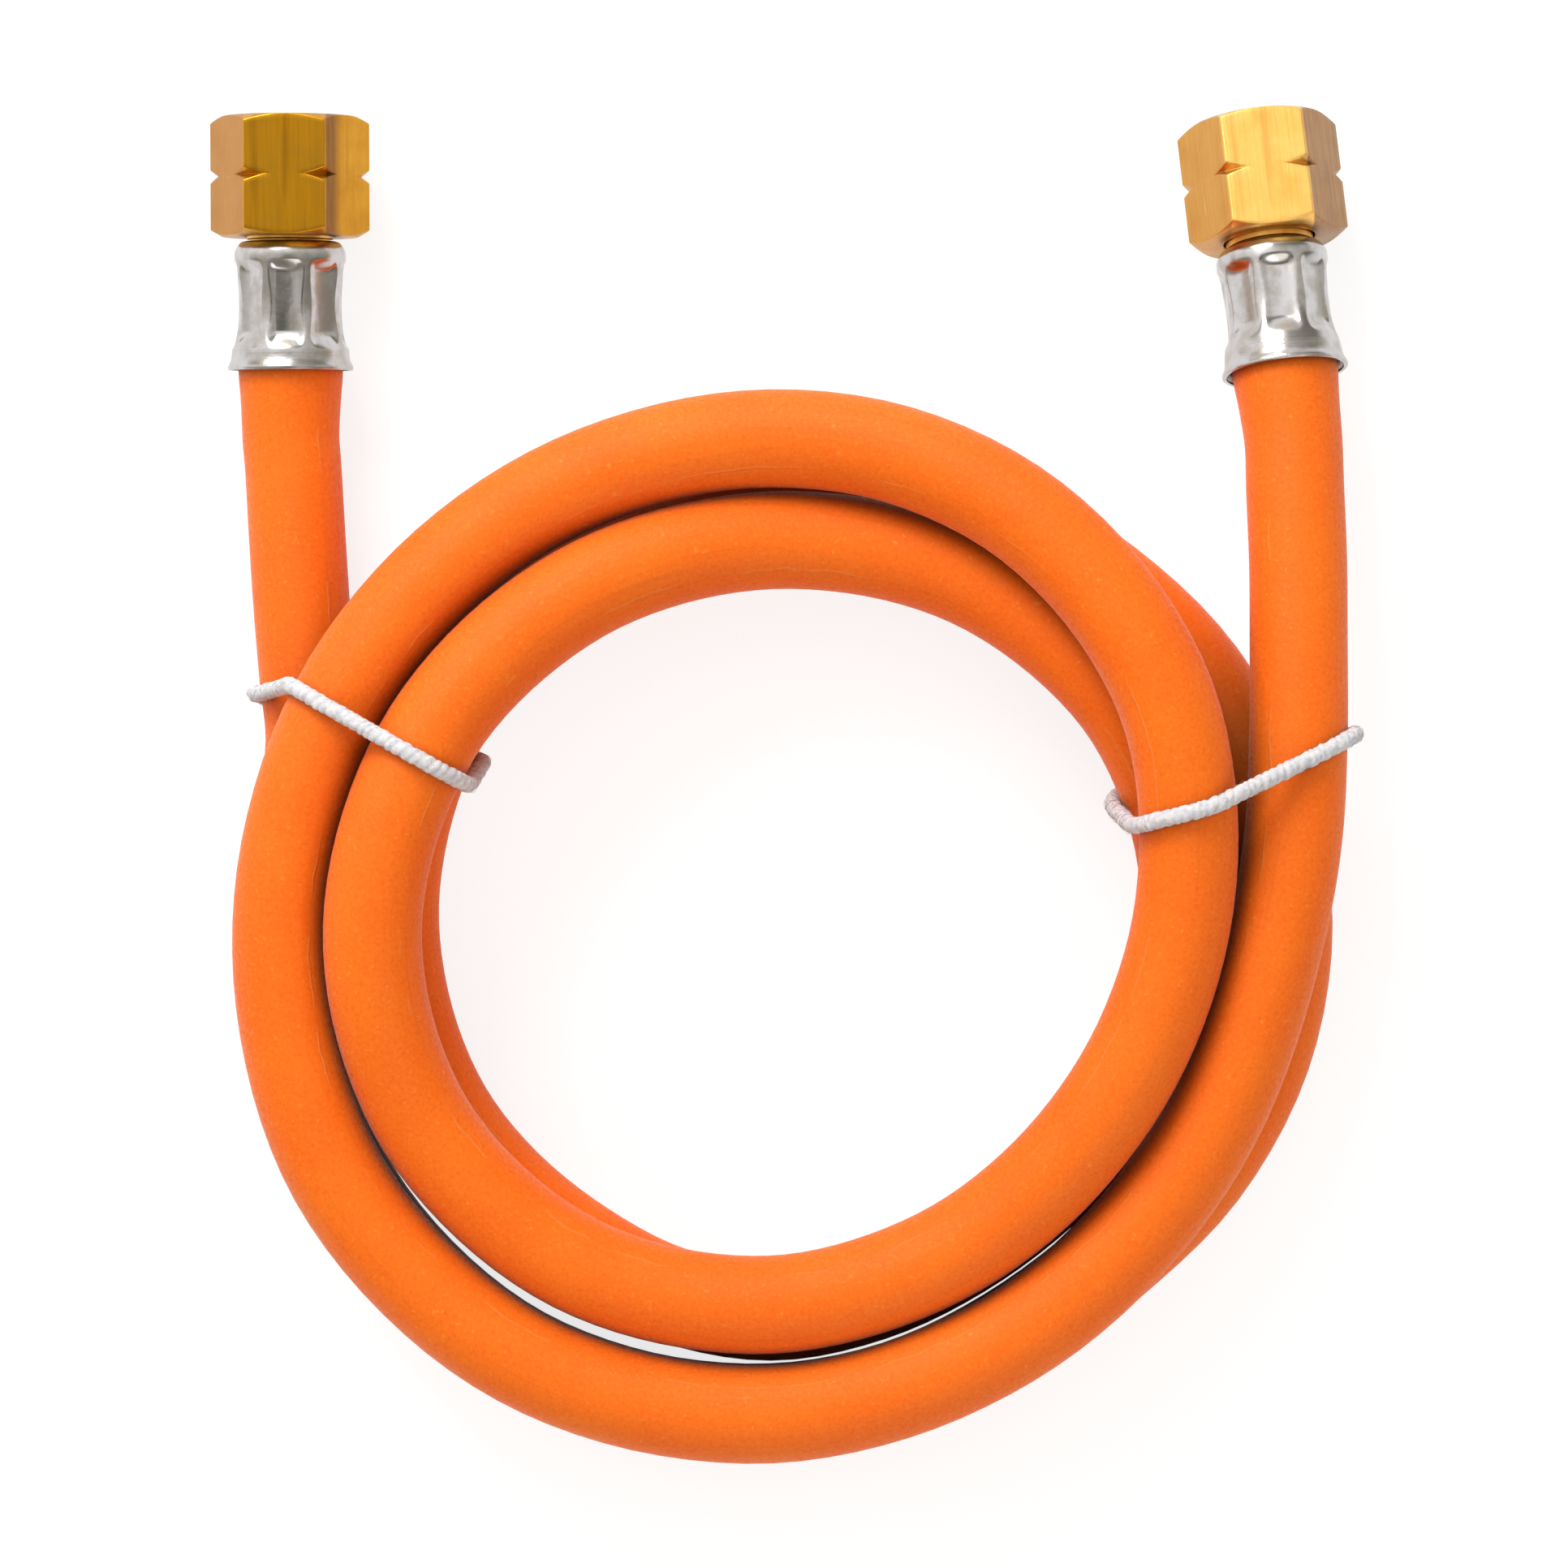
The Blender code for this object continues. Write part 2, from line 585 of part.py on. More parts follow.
def main():
    for obj in list(bpy.data.objects):
        bpy.data.objects.remove(obj)
    parts = collection_named("gas_hose")
    cutters = collection_named("cutters")
    rubber = material_named("orange rubber", (0.93, 0.27, 0.03), 0.75, 0)
    brass = material_named("brass", (0.75, 0.47, 0.16), 0.35, 1)
    steel = material_named("plated steel", (0.78, 0.77, 0.74), 0.2, 1)
    textile = material_named("white textile", (0.82, 0.81, 0.8), 0.9, 0)

    root = empty("hose_assembly", None, Matrix(), parts)
    make_hose(root, parts, cutters, rubber)
    for side, frame, nut_place in (
        ("left", left_frame(), LEFT_NUT_PLACE),
        ("right", right_frame(), RIGHT_NUT_PLACE),
    ):
        fitting = empty(f"{side}_fitting", root, frame, parts)
        make_ferrule(side, fitting, parts, steel)
        make_nipple(side, fitting, parts, brass)
        make_nut(side, nut_place, fitting, parts, cutters, brass)
    for name, *tie in (
        ("left_tie", LEFT_TIE_PIVOT, LEFT_TIE_ANGLE, LEFT_TIE_ABOVE, LEFT_TIE_BELOW),
        ("right_tie", RIGHT_TIE_PIVOT, RIGHT_TIE_ANGLE, RIGHT_TIE_ABOVE, RIGHT_TIE_BELOW),
    ):
        make_tie(name, *tie, root, parts, textile)


if __name__ == "__main__":
    main()
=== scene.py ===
"""The coiled gas hose as the photograph shows it: lit, finished and seen from straight above.

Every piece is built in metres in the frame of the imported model. The route of the hose repeats the CAD's.
"""

import math
import random

import bpy
from mathutils import Matrix, Vector, noise

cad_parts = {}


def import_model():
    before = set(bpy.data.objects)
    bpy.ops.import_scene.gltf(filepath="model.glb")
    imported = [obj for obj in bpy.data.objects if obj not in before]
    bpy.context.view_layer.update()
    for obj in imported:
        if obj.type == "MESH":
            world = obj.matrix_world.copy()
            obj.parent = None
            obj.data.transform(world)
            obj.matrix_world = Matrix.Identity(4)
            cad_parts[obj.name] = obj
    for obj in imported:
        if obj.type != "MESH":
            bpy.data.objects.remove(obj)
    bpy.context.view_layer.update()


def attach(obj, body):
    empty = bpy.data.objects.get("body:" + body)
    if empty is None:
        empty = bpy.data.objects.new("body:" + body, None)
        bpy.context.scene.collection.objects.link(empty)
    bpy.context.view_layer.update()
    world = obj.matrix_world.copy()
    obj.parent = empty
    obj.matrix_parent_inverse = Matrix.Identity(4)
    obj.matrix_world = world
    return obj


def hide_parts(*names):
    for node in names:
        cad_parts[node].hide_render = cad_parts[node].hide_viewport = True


MM = 0.001
GAP = 0.3 * MM

# Camera, straight above
CAMERA_HEIGHT = 0.8
LENS = 131.8
SENSOR = 36.0

# Hose
HOSE_BORE = 6.3 * MM
HOSE_RADIUS = HOSE_BORE / 2 + 3.5 * MM
HOSE_SIDES = 48
HOSE_UNEVENNESS = 0.06 * MM
SPAN_ANGLE = 15
PIECES_PER_SPAN = 5
TAIL_PIECES = 9
END_PIECES = 2
COIL_CENTRE = Vector((-1.8, -19.2, 0)) * MM

# Painted shade: the rubber's colour is darkened where turns lie close together
FOLD_REACH = 14 * MM
FOLD_PAINTED_SHADE = (0.4, 0.5, 0.4, 1)

# The hose's seam, in shares of the way round from its outer side
SEAM_PLACE = 0.36
SEAM_WIDTH = 0.006
SEAM_WAVER = 0.02

# The hose's centreline: degrees clockwise from +X, radius in mm, height in mm
COIL_STATIONS = (
    # Turn 1, the upper outer one
    (0, 68.7, 22.6), (30, 65.1, 20.8), (60, 64.8, 20.5), (90, 66.4, 20.4), (120, 67.8, 20.4),
    (150, 67.9, 21.1), (180, 66.3, 22.2), (210, 65.6, 23.0), (240, 65.5, 21.7), (270, 66.0, 22.7),
    (285, 65.95, 25.0), (300, 65.1, 27.6), (330, 61.2, 30.4),
    # Turn 2, the upper inner one, which runs down under turn 1 at its end
    (360, 55.2, 27.5), (390, 51.3, 24.9), (420, 50.5, 21.0), (450, 51.5, 20.4), (480, 53.0, 20.4),
    (510, 54.0, 22.4), (540, 53.6, 27.5), (570, 52.5, 27.4), (600, 51.8, 24.6), (630, 52.3, 19.8),
    (660, 54.5, 18.7), (690, 57.0, 17.5),
    # Turn 3, on the floor inside
    (720, 57.3, 12.4), (750, 53.6, 7.3), (780, 52.2, 6.8), (795, 53.0, 6.7), (810, 53.8, 6.7),
    (825, 53.2, 6.7), (840, 52.1, 6.75), (870, 52.1, 7.3), (900, 52.4, 8.4), (930, 53.3, 9.25),
    (960, 55.2, 8.0), (990, 59.1, 7.7), (1020, 63.6, 8.5), (1035, 65.6, 8.9), (1050, 68.0, 9.2),
    # Turn 4, on the floor outside
    (1080, 70.7, 9.1), (1095, 70.2, 8.2), (1110, 68.4, 7.4), (1125, 66.0, 7.0), (1140, 65.8, 6.8),
    (1155, 66.7, 6.7), (1170, 67.5, 6.7), (1185, 68.2, 6.7), (1200, 68.9, 6.75), (1230, 68.6, 7.3),
    (1260, 67.2, 8.5),
)

# Points of the two free ends in mm, between the coil and the straight stretch behind each ferrule
RIGHT_TAIL = (
    (69.6, 40.0, 18.5), (69.85, 30.0, 20.0), (69.8, 19.0, 21.5), (69.65, 7.0, 22.7), (69.05, -6.0, 23.0),
)
LEFT_TAIL = (
    (-66.0, -3.5, 9.2), (-64.75, 6.0, 9.25), (-65.65, 15.0, 9.15), (-66.5, 25.0, 8.8), (-67.2, 35.0, 8.35),
    (-67.7, 44.0, 8.1),
)

# Nipple. Places along a fitting are measured from the ferrule's mouth towards the nut.
NIPPLE_BORE = 5.0 * MM
NECK_RADIUS = 6.0 * MM
STOP_THICKNESS = 0.9 * MM
BARB_COUNT = 3
BARB_CREST = HOSE_BORE / 2 + 0.35 * MM
BARB_DEPTH = 0.5 * MM
TAIL_PAST_FERRULE = 3.0 * MM
NECK_PAST_FERRULE = 6.1 * MM
COLLAR_THICKNESS = 1.2 * MM
NOSE_FLAT = 7.6 * MM
NOSE_BALL_EXTRA = 0.15 * MM
GROOVE_DEPTH = 0.45 * MM
NIPPLE_STEPS = 96
NIPPLE_EDGE = 0.12 * MM
NOSE_ARC_STEPS = 18

# Ferrule
FERRULE_LENGTH = 17.7 * MM
FERRULE_WALL = 0.55 * MM
FLARE = 1.37 * MM
LIP_LENGTH = 0.5 * MM
SHOULDER_LENGTH = 1.3 * MM
CRIMP_SQUEEZE = 0.8 * MM
BULGE = 0.55 * MM
DIMPLE_COUNT = 8
DIMPLE_DEPTH = 0.55 * MM
DIMPLE_START = 5.9 * MM
DIMPLE_END = FERRULE_LENGTH - 3.5 * MM
DIMPLE_RAMP = 1.2 * MM
DIMPLE_HALF = 1.55 * MM
DIMPLE_SIDE = 1.3 * MM
LEFT_DIMPLE_MOUTH_END = DIMPLE_START - 0.6 * MM
RIGHT_DIMPLE_MOUTH_END = DIMPLE_START + 0.6 * MM
DIMPLE_NUT_END = DIMPLE_END - 0.8 * MM
DIMPLE_MOUTH_RAMP = 2.6 * MM
DIMPLE_NUT_RAMP = 1.8 * MM
JAW_ROUNDING = 14 * MM
FERRULE_STEPS = 192
FERRULE_SPACING = 0.28 * MM
LIP_EDGE = 0.2 * MM
CRIMPED_RADIUS = HOSE_RADIUS - CRIMP_SQUEEZE
DIMPLE_FLOOR = CRIMPED_RADIUS + GAP + FERRULE_WALL
WAIST_RADIUS = DIMPLE_FLOOR + DIMPLE_DEPTH
MOUTH_RADIUS = WAIST_RADIUS + FLARE
STOP_PLACE = FERRULE_LENGTH - FERRULE_WALL - GAP - STOP_THICKNESS
HOSE_END_PLACE = STOP_PLACE - GAP
COLLAR_PLACE = FERRULE_LENGTH + NECK_PAST_FERRULE

# Union nut
NUT_ACROSS_FLATS = 19.0 * MM
NUT_LENGTH = 16.4 * MM
NUT_BACK_WALL = 3.0 * MM
THREAD_MINOR = 14.95 * MM
THREAD_MAJOR = 16.66 * MM
THREAD_PITCH = 1.337 * MM
THREAD_RELIEF = 16.8 * MM
RELIEF_LENGTH = 2.2 * MM
FACE_RADIUS = 9.4 * MM
CHAMFER_ANGLE = math.radians(30)
NOTCH_ROOT = 9.8 * MM
NOTCH_WIDTH = 1.85 * MM
NUT_EDGE = 0.13 * MM
CORNER_SOFTNESS = 0.1 * MM
FLAT_PIECES = 10
BACK_HOLE_EDGE = 0.12 * MM
THREAD_END = NUT_LENGTH - 0.95 * MM
THREAD_ROWS = 90
THREAD_START_FADE = 0.8 * MM
THREAD_MOUTH_FADE = (NUT_LENGTH - 1.5 * MM, NUT_LENGTH - 0.9 * MM)
CORNER_PLACE = NUT_ACROSS_FLATS / 2 * math.tan(math.radians(30))
LEFT_NUT_PLACE = FERRULE_LENGTH + 0.65 * MM
RIGHT_NUT_PLACE = FERRULE_LENGTH + 1.0 * MM
COLLAR_RADIUS = THREAD_MINOR / 2 - GAP

# Ties
TIE_RADIUS = 1.1 * MM
TIE_GAP = 0.02 * MM
TIE_WAYS = 96
TIE_EASING = 50
TIE_SPACING = 0.16 * MM
TIE_SIDES = 20
YARN_STARTS = 2
YARN_TURN_LENGTH = 2.4 * MM
YARN_LUMP_LENGTH = 1.1 * MM
TIE_LOW = 12.0 * MM
TIE_HIGH = 24.0 * MM
# Pivot, angle, and sideways shifts in mm at distances from the pivot, for the strand above and the one below
LEFT_TIE = (
    Vector((-1.8, -22.8, 0)) * MM, math.radians(150.8), ((47, 0), (81, 0)), ((47, -3.2), (81, 3.8)),
)
RIGHT_TIE = (
    Vector((-1.8, -25.2, 0)) * MM, math.radians(22.0), ((52, 0), (66, -1.8), (85, 0)), ((52, 4.1), (85, 0)),
)

# Loose fibres on the ties
FIBRE_LENGTHS = (0.35, 1.0)
FIBRE_RISES = (0.05, 0.3)
FIBRE_RADIUS = 0.014 * MM
FIBRE_PIECES = 4
FIBRE_SIDES = 3

# Fittings
LEFT_MOUTH = Vector((-68.0, 57.0)) * MM
LEFT_LEAN = math.radians(0)
RIGHT_MOUTH = Vector((68.5, 56.2)) * MM
RIGHT_LEAN = math.radians(5.9)
RIGHT_DROP = math.radians(10)
FLOOR_CLEARANCE = 0.03 * MM

# Light of the world as (place, strength). A place goes from 0 to 1 up the picture or across it. For the dark
# patch it is the nearness to the camera's direction. Each ramp's first two stops are its ends.
WORLD_LEVEL = 1.35
WORLD_UP = (
    (0.0, 0.19), (1.0, 0.8),
    (0.35, 0.31), (0.5, 0.5), (0.57, 0.85), (0.73, 1.0), (0.79, 0.32), (0.87, 0.32), (0.93, 0.8),
)
WORLD_ACROSS = ((0.0, 1.0), (1.0, 0.5), (0.5, 1.0), (0.8, 0.6))
WORLD_PATCH = ((0.965, 1.0), (0.99, 0.2))
CAMERA_PATCH = (0.0, -0.09, 0.996)
WORLD_SHADE = (1.0, 0.93, 0.74, 1)

# Lamps: place, size and energy. Floor: colour for plain light, and colour and glow as the camera sees it
KEY_LAMP = ((-0.36, 0.80, 0.66), 0.55, 8.8)
FILL_LAMP = ((0.36, -0.90, 0.72), 0.9, 4.6)
FLOOR_HALF = 3.0
FLOOR_PLAIN = (0.86, 0.86, 0.86, 1)
FLOOR_SEEN = (0.3, 0.3, 0.3, 1)
FLOOR_GLOW = 0.8

# Colours as a picture shows them, 0 to 255
RUBBER = (249, 106, 0)
RUBBER_CLOUDS = (250, 114, 4)
RUBBER_LIGHT_GRAIN = (252, 133, 18)
RUBBER_DARK_GRAIN = (220, 88, 4)
RUBBER_SPECKS = (252, 156, 66)
RUBBER_DRAWN_LINES = (214, 92, 14)
RUBBER_SEAM = (244, 160, 88)
PLATING = (196, 193, 194)
PLATING_DULL = (158, 151, 136)
YARN = (226, 223, 222)
YARN_BLUISH = (206, 208, 220)
YARN_WARM = (232, 227, 214)
# The left and right side colours are painted shade, standing in for dim reflections on the nut's side flats
BRIGHT_BRASS = {
    "bright": (255, 205, 115),
    "dull": (240, 178, 88),
    "stain": (214, 140, 62),
    "left_painted_shade": (186, 130, 62),
    "right_painted_shade": (126, 92, 74),
    "shade_strip": 12 * MM,
}
AGED_BRASS = {
    "bright": (212, 152, 40),
    "dull": (196, 136, 24),
    "stain": (160, 104, 20),
    "left_painted_shade": (184, 126, 70),
    "right_painted_shade": (118, 76, 48),
    "shade_strip": 6.6 * MM,
}


# Route of the hose, as in the CAD


def smooth_points(knots, spans):
    """Points on a smooth curve through the knots: cubic spans, with slopes of parabolas through three."""
    lengths = [(b.xyz - a.xyz).length for a, b in zip(knots, knots[1:])]
    steps = [(b - a) / length for a, b, length in zip(knots, knots[1:], lengths)]
    slopes = []
    for i in range(len(knots)):
        before, after = max(i - 1, 0), min(i, len(steps) - 1)
        share = lengths[before] / (lengths[before] + lengths[after])
        slopes.append(steps[before] * (1 - share) + steps[after] * share)
    points = []
    for i, (length, pieces) in enumerate(zip(lengths, spans)):
        for step in range(pieces):
            t = step / pieces
            points.append(
                knots[i] * (2 * t**3 - 3 * t**2 + 1)
                + knots[i + 1] * (3 * t**2 - 2 * t**3)
                + slopes[i] * length * (t**3 - 2 * t**2 + t)
                + slopes[i + 1] * length * (t**3 - t**2)
            )
    return points + [knots[-1]]


def coil_point(angle, radius, height):
    """A point by its angle and radius about the coil's centre."""
    return COIL_CENTRE + Vector((radius * math.cos(angle), radius * math.sin(angle), height))


def fitting_frame(mouth, lean, rise, height):
    """A fitting's frame: its origin in the ferrule's mouth, +Z along the fitting, +Y as near up as can be."""
    forward = Vector((-math.sin(lean) * math.cos(rise), math.cos(lean) * math.cos(rise), math.sin(rise)))
    up = (Vector((0, 0, 1)) - forward * forward.z).normalized()
    axes = Matrix((up.cross(forward), up, forward)).transposed()
    return Matrix.Translation((*mouth, height)) @ axes.to_4x4()


def left_frame():
    """The left fitting lies on its ferrule's lip and on the back edge of its nut."""
    rise = math.asin((NUT_ACROSS_FLATS / 2 - MOUTH_RADIUS) / LEFT_NUT_PLACE)
    return fitting_frame(LEFT_MOUTH, LEFT_LEAN, rise, MOUTH_RADIUS + FLOOR_CLEARANCE)


def right_frame():
    """The right fitting points down, with the lower edge of its nut on the floor."""
    below_axis = NUT_ACROSS_FLATS / 2 * math.cos(RIGHT_DROP)
    height = below_axis + (RIGHT_NUT_PLACE + NUT_LENGTH) * math.sin(RIGHT_DROP) + FLOOR_CLEARANCE
    return fitting_frame(RIGHT_MOUTH, RIGHT_LEAN, -RIGHT_DROP, height)


def hose_end(frame):
    """Knots of the straight end of the hose: x, y, z, outer radius and bore radius, from the cut outwards."""
    bore = HOSE_BORE / 2
    stretched = BARB_CREST + GAP
    tail = TAIL_PAST_FERRULE
    sections = (
        (HOSE_END_PLACE, CRIMPED_RADIUS, stretched),
        (DIMPLE_START, CRIMPED_RADIUS, stretched),
        (DIMPLE_START - DIMPLE_RAMP, HOSE_RADIUS + 0.1 * BULGE, stretched),
        (DIMPLE_START / 2, HOSE_RADIUS + 0.65 * BULGE, stretched),
        (0.0, HOSE_RADIUS + BULGE, stretched),
        (-tail - GAP, HOSE_RADIUS + 0.55 * BULGE, stretched),
        (-tail * 1.85, HOSE_RADIUS + 0.3 * BULGE, bore),
        (-tail * 3, HOSE_RADIUS + 0.05 * BULGE, bore),
    )
    return [Vector((*(frame @ Vector((0, 0, place)))[:], outer, inner)) for place, outer, inner in sections]


def hose_sections():
    """Sections of the whole hose, from its right end to its left: x, y, z, outer radius, bore radius."""
    plain = (HOSE_RADIUS, HOSE_BORE / 2)
    right, left = hose_end(right_frame()), hose_end(left_frame())
    free = [Vector(point) * MM for point in RIGHT_TAIL]
    for angle, radius, height in COIL_STATIONS:
        free.append(coil_point(-math.radians(angle), radius * MM, height * MM))
    free += [Vector(point) * MM for point in LEFT_TAIL]
    knots = right + [Vector((*point, *plain)) for point in free] + left[::-1]
    spans = [END_PIECES] * (len(right) - 1) + [TAIL_PIECES] * (len(RIGHT_TAIL) + 1)
    for before, after in zip(COIL_STATIONS, COIL_STATIONS[1:]):
        spans.append((after[0] - before[0]) // SPAN_ANGLE * PIECES_PER_SPAN)
    spans += [TAIL_PIECES] * (len(LEFT_TAIL) + 1) + [END_PIECES] * (len(left) - 1)
    return smooth_points(knots, spans)


# Geometry


def new_piece(name, verts, faces, uvs=None, smooth=True, sharp=None):
    """A mesh object in the scene, from points and faces, with its normals facing out."""
    mesh = bpy.data.meshes.new(name)
    mesh.from_pydata([tuple(v) for v in verts], [], faces)
    if uvs:
        layer = mesh.uv_layers.new(name="UVMap")
        for loop in mesh.loops:
            layer.data[loop.index].uv = uvs[loop.vertex_index]
    if smooth:
        mesh.shade_smooth()
    if sharp is not None:
        mesh.set_sharp_from_angle(angle=sharp)
    obj = bpy.data.objects.new(name, mesh)
    bpy.context.scene.collection.objects.link(obj)
    return obj


def ring_faces(rings, sides, cyclic=False):
    """Quads between neighbouring rings of points."""
    faces = []
    for i in range(rings if cyclic else rings - 1):
        for j in range(sides):
            a, b = i * sides + j, i * sides + (j + 1) % sides
            c, d = ((i + 1) % rings) * sides + (j + 1) % sides, ((i + 1) % rings) * sides + j
            faces.append((a, b, c, d))
    return faces


def tangents(points, cyclic=False):
    """Unit directions along a line of points."""
    count = len(points)
    found = []
    for i in range(count):
        before = points[(i - 1) % count if cyclic else max(i - 1, 0)]
        after = points[(i + 1) % count if cyclic else min(i + 1, count - 1)]
        found.append((after - before).normalized())
    return found


def upright_axes(tangent):
    """Two axes across a line: one as near straight up as can be, and one level, to its left."""
    side = Vector((0, 0, 1)).cross(tangent)
    side = side.normalized() if side.length > 1e-3 else Vector((1, 0, 0))
    return side, tangent.cross(side)


def make_hose():
    """The hose as one hollow tube with its cut ends, faintly uneven as extruded rubber is."""
    sections = hose_sections()
    points = [section.xyz for section in sections]
    ways = tangents(points)
    verts, uvs = [], []
    along = 0.0
    for i, (section, point, way) in enumerate(zip(sections, points, ways)):
        if i:
            along += (point - points[i - 1]).length
        side, up = upright_axes(way)
        for j in range(HOSE_SIDES):
            turn = 2 * math.pi * j / HOSE_SIDES
            out = side * math.cos(turn) + up * math.sin(turn)
            wobble = noise.noise(Vector((math.cos(turn), math.sin(turn), along * 90)) * 0.8)
            verts.append(point + out * (section[3] + wobble * HOSE_UNEVENNESS))
            uvs.append((along, j / HOSE_SIDES))
    rings = len(sections)
    faces = ring_faces(rings, HOSE_SIDES)
    base = len(verts)
    for section, point, way in zip(sections, points, ways):
        side, up = upright_axes(way)
        for j in range(HOSE_SIDES):
            turn = 2 * math.pi * j / HOSE_SIDES
            verts.append(point + (side * math.cos(turn) + up * math.sin(turn)) * section[4])
            uvs.append((0, 0))
    faces += [tuple(base + v for v in reversed(face)) for face in ring_faces(rings, HOSE_SIDES)]
    last = (rings - 1) * HOSE_SIDES
    for j in range(HOSE_SIDES):
        k = (j + 1) % HOSE_SIDES
        faces.append((j, base + j, base + k, k))
        faces.append((last + k, base + last + k, base + last + j, last + j))
    hose = new_piece("rubber_hose", verts, faces, uvs)
    return hose, points


def turned_piece(name, profile, steps):
    """A surface of revolution about Z, from a closed profile."""
    verts = []
    for radius, height in profile:
        for j in range(steps):
            turn = 2 * math.pi * j / steps
            verts.append((radius * math.cos(turn), radius * math.sin(turn), height))
    return new_piece(name, verts, ring_faces(len(profile), steps, True), sharp=math.radians(38))


def rounded_profile(profile, radius, pieces=3, closed=True):
    """The profile with each corner cut to a small arc."""
    points = [Vector(p) for p in profile]
    count = len(points)
    result = []
    for i, point in enumerate(points):
        if not closed and i in (0, count - 1):
            result.append(tuple(point))
            continue
        before, after = points[i - 1] - point, points[(i + 1) % count] - point
        if before.length < 1e-7 or after.length < 1e-7 or before.angle(after) > math.radians(172):
            result.append(tuple(point))
            continue
        reach = min(radius, before.length * 0.4, after.length * 0.4)
        a, b = point + before.normalized() * reach, point + after.normalized() * reach
        for k in range(pieces + 1):
            t = k / pieces
            result.append(tuple(a * (1 - t) ** 2 + point * 2 * t * (1 - t) + b * t**2))
    return result


def resampled(profile, spacing):
    """The profile with extra points, no further apart than the spacing."""
    result = [profile[0]]
    for a, b in zip(profile, profile[1:]):
        length = math.dist(a, b)
        pieces = max(1, math.ceil(length / spacing))
        for k in range(1, pieces + 1):
            t = k / pieces
            result.append((a[0] + (b[0] - a[0]) * t, a[1] + (b[1] - a[1]) * t))
    return result


def smoothstep(low, high, value):
    """0 below low, 1 above high, and a smooth rise between."""
    t = min(max((value - low) / (high - low), 0), 1)
    return t * t * (3 - 2 * t)


def ferrule_profile():
    """Outer side of the ferrule, from its lip to the edge round the nipple, as (radius, height) points."""
    waist = WAIST_RADIUS
    length = FERRULE_LENGTH
    edge = NECK_RADIUS - GROOVE_DEPTH + GAP
    flare_end = DIMPLE_START - DIMPLE_RAMP
    flare_length = flare_end - LIP_LENGTH
    pressed = DIMPLE_END - DIMPLE_START
    return (
        (MOUTH_RADIUS, 0),
        (MOUTH_RADIUS, LIP_LENGTH),
        (waist + 0.71 * FLARE, LIP_LENGTH + 0.2 * flare_length),
        (waist + 0.57 * FLARE, LIP_LENGTH + 0.55 * flare_length),
        (waist + 0.31 * FLARE, flare_end),
        (waist + 0.15 * FLARE, DIMPLE_START),
        (waist, DIMPLE_START + 0.27 * pressed),
        (waist + 0.02 * FLARE, DIMPLE_START + 0.53 * pressed),
        (waist + 0.15 * FLARE, DIMPLE_START + 0.77 * pressed),
        (waist + 0.24 * FLARE, DIMPLE_END),
        (waist + 0.29 * FLARE, DIMPLE_END + DIMPLE_RAMP),
        (waist + 0.22 * FLARE, length - SHOULDER_LENGTH),
        (waist - 0.04 * SHOULDER_LENGTH, length - 0.46 * SHOULDER_LENGTH),
        (waist - 0.38 * SHOULDER_LENGTH, length - 0.12 * SHOULDER_LENGTH),
        (waist - 0.73 * SHOULDER_LENGTH, length),
        (edge, length),
    )


def smooth_line(profile, pieces):
    """A smooth line through the points of a profile."""
    knots = [Vector((r, z, 0)) for r, z in profile]
    return [(p.x, p.y) for p in smooth_points(knots, [pieces] * (len(knots) - 1))]


def dimpled(radius, height, turn, mouth_end):
    """The radius once the eight jaws have pressed in: floors that rise softly on every side."""
    pitch = 2 * math.pi / DIMPLE_COUNT
    offset = (turn - math.pi / 2 + pitch / 2) % pitch - pitch / 2
    across = abs(offset) * WAIST_RADIUS
    end = max(0.0, (mouth_end - height) / DIMPLE_MOUTH_RAMP, (height - DIMPLE_NUT_END) / DIMPLE_NUT_RAMP)
    side = max(0.0, (across - DIMPLE_HALF) / DIMPLE_SIDE)
    press = 1 - smoothstep(0.0, 1.0, math.hypot(end, side))
    floor = DIMPLE_FLOOR / math.cos(offset) + across * across / (2 * JAW_ROUNDING)
    return radius + (min(floor, radius) - radius) * press


def make_ferrule(side, frame, mouth_end):
    """The crimped ferrule with its wall, its lip and its pressed flats."""
    outer = resampled(smooth_line(ferrule_profile()[1:], 4), FERRULE_SPACING)
    lip = rounded_profile([(MOUTH_RADIUS - FERRULE_WALL, 0), (MOUTH_RADIUS, 0), outer[0]], LIP_EDGE, 4, False)
    outside = lip[1:-1] + outer
    inner = []
    for i, (radius, height) in enumerate(outer):
        a, b = outer[max(i - 1, 0)], outer[min(i + 1, len(outer) - 1)]
        slope = Vector((b[0] - a[0], b[1] - a[1])).normalized()
        inner.append((radius - FERRULE_WALL * slope.y, height + FERRULE_WALL * slope.x))
    edge, end_inside = outer[-1][0], FERRULE_LENGTH - FERRULE_WALL
    inner = [p for p in inner if p[0] > edge + 0.02 * MM and p[1] < end_inside]
    inner = [(MOUTH_RADIUS - FERRULE_WALL, 0.05 * MM)] + inner + [(edge, end_inside)]
    profile = outside + inner[::-1]

    verts = []
    for i, (radius, height) in enumerate(profile):
        for j in range(FERRULE_STEPS):
            turn = 2 * math.pi * j / FERRULE_STEPS
            if i < len(outside):
                r = dimpled(radius, height, turn, mouth_end)
            else:
                r = dimpled(radius + FERRULE_WALL, height, turn, mouth_end) - FERRULE_WALL
            verts.append((r * math.cos(turn), r * math.sin(turn), height))
    faces = ring_faces(len(profile), FERRULE_STEPS, True)
    ferrule = new_piece(f"crimped_ferrule_{side}", verts, faces, sharp=math.radians(50))
    ferrule.matrix_world = frame
    return ferrule


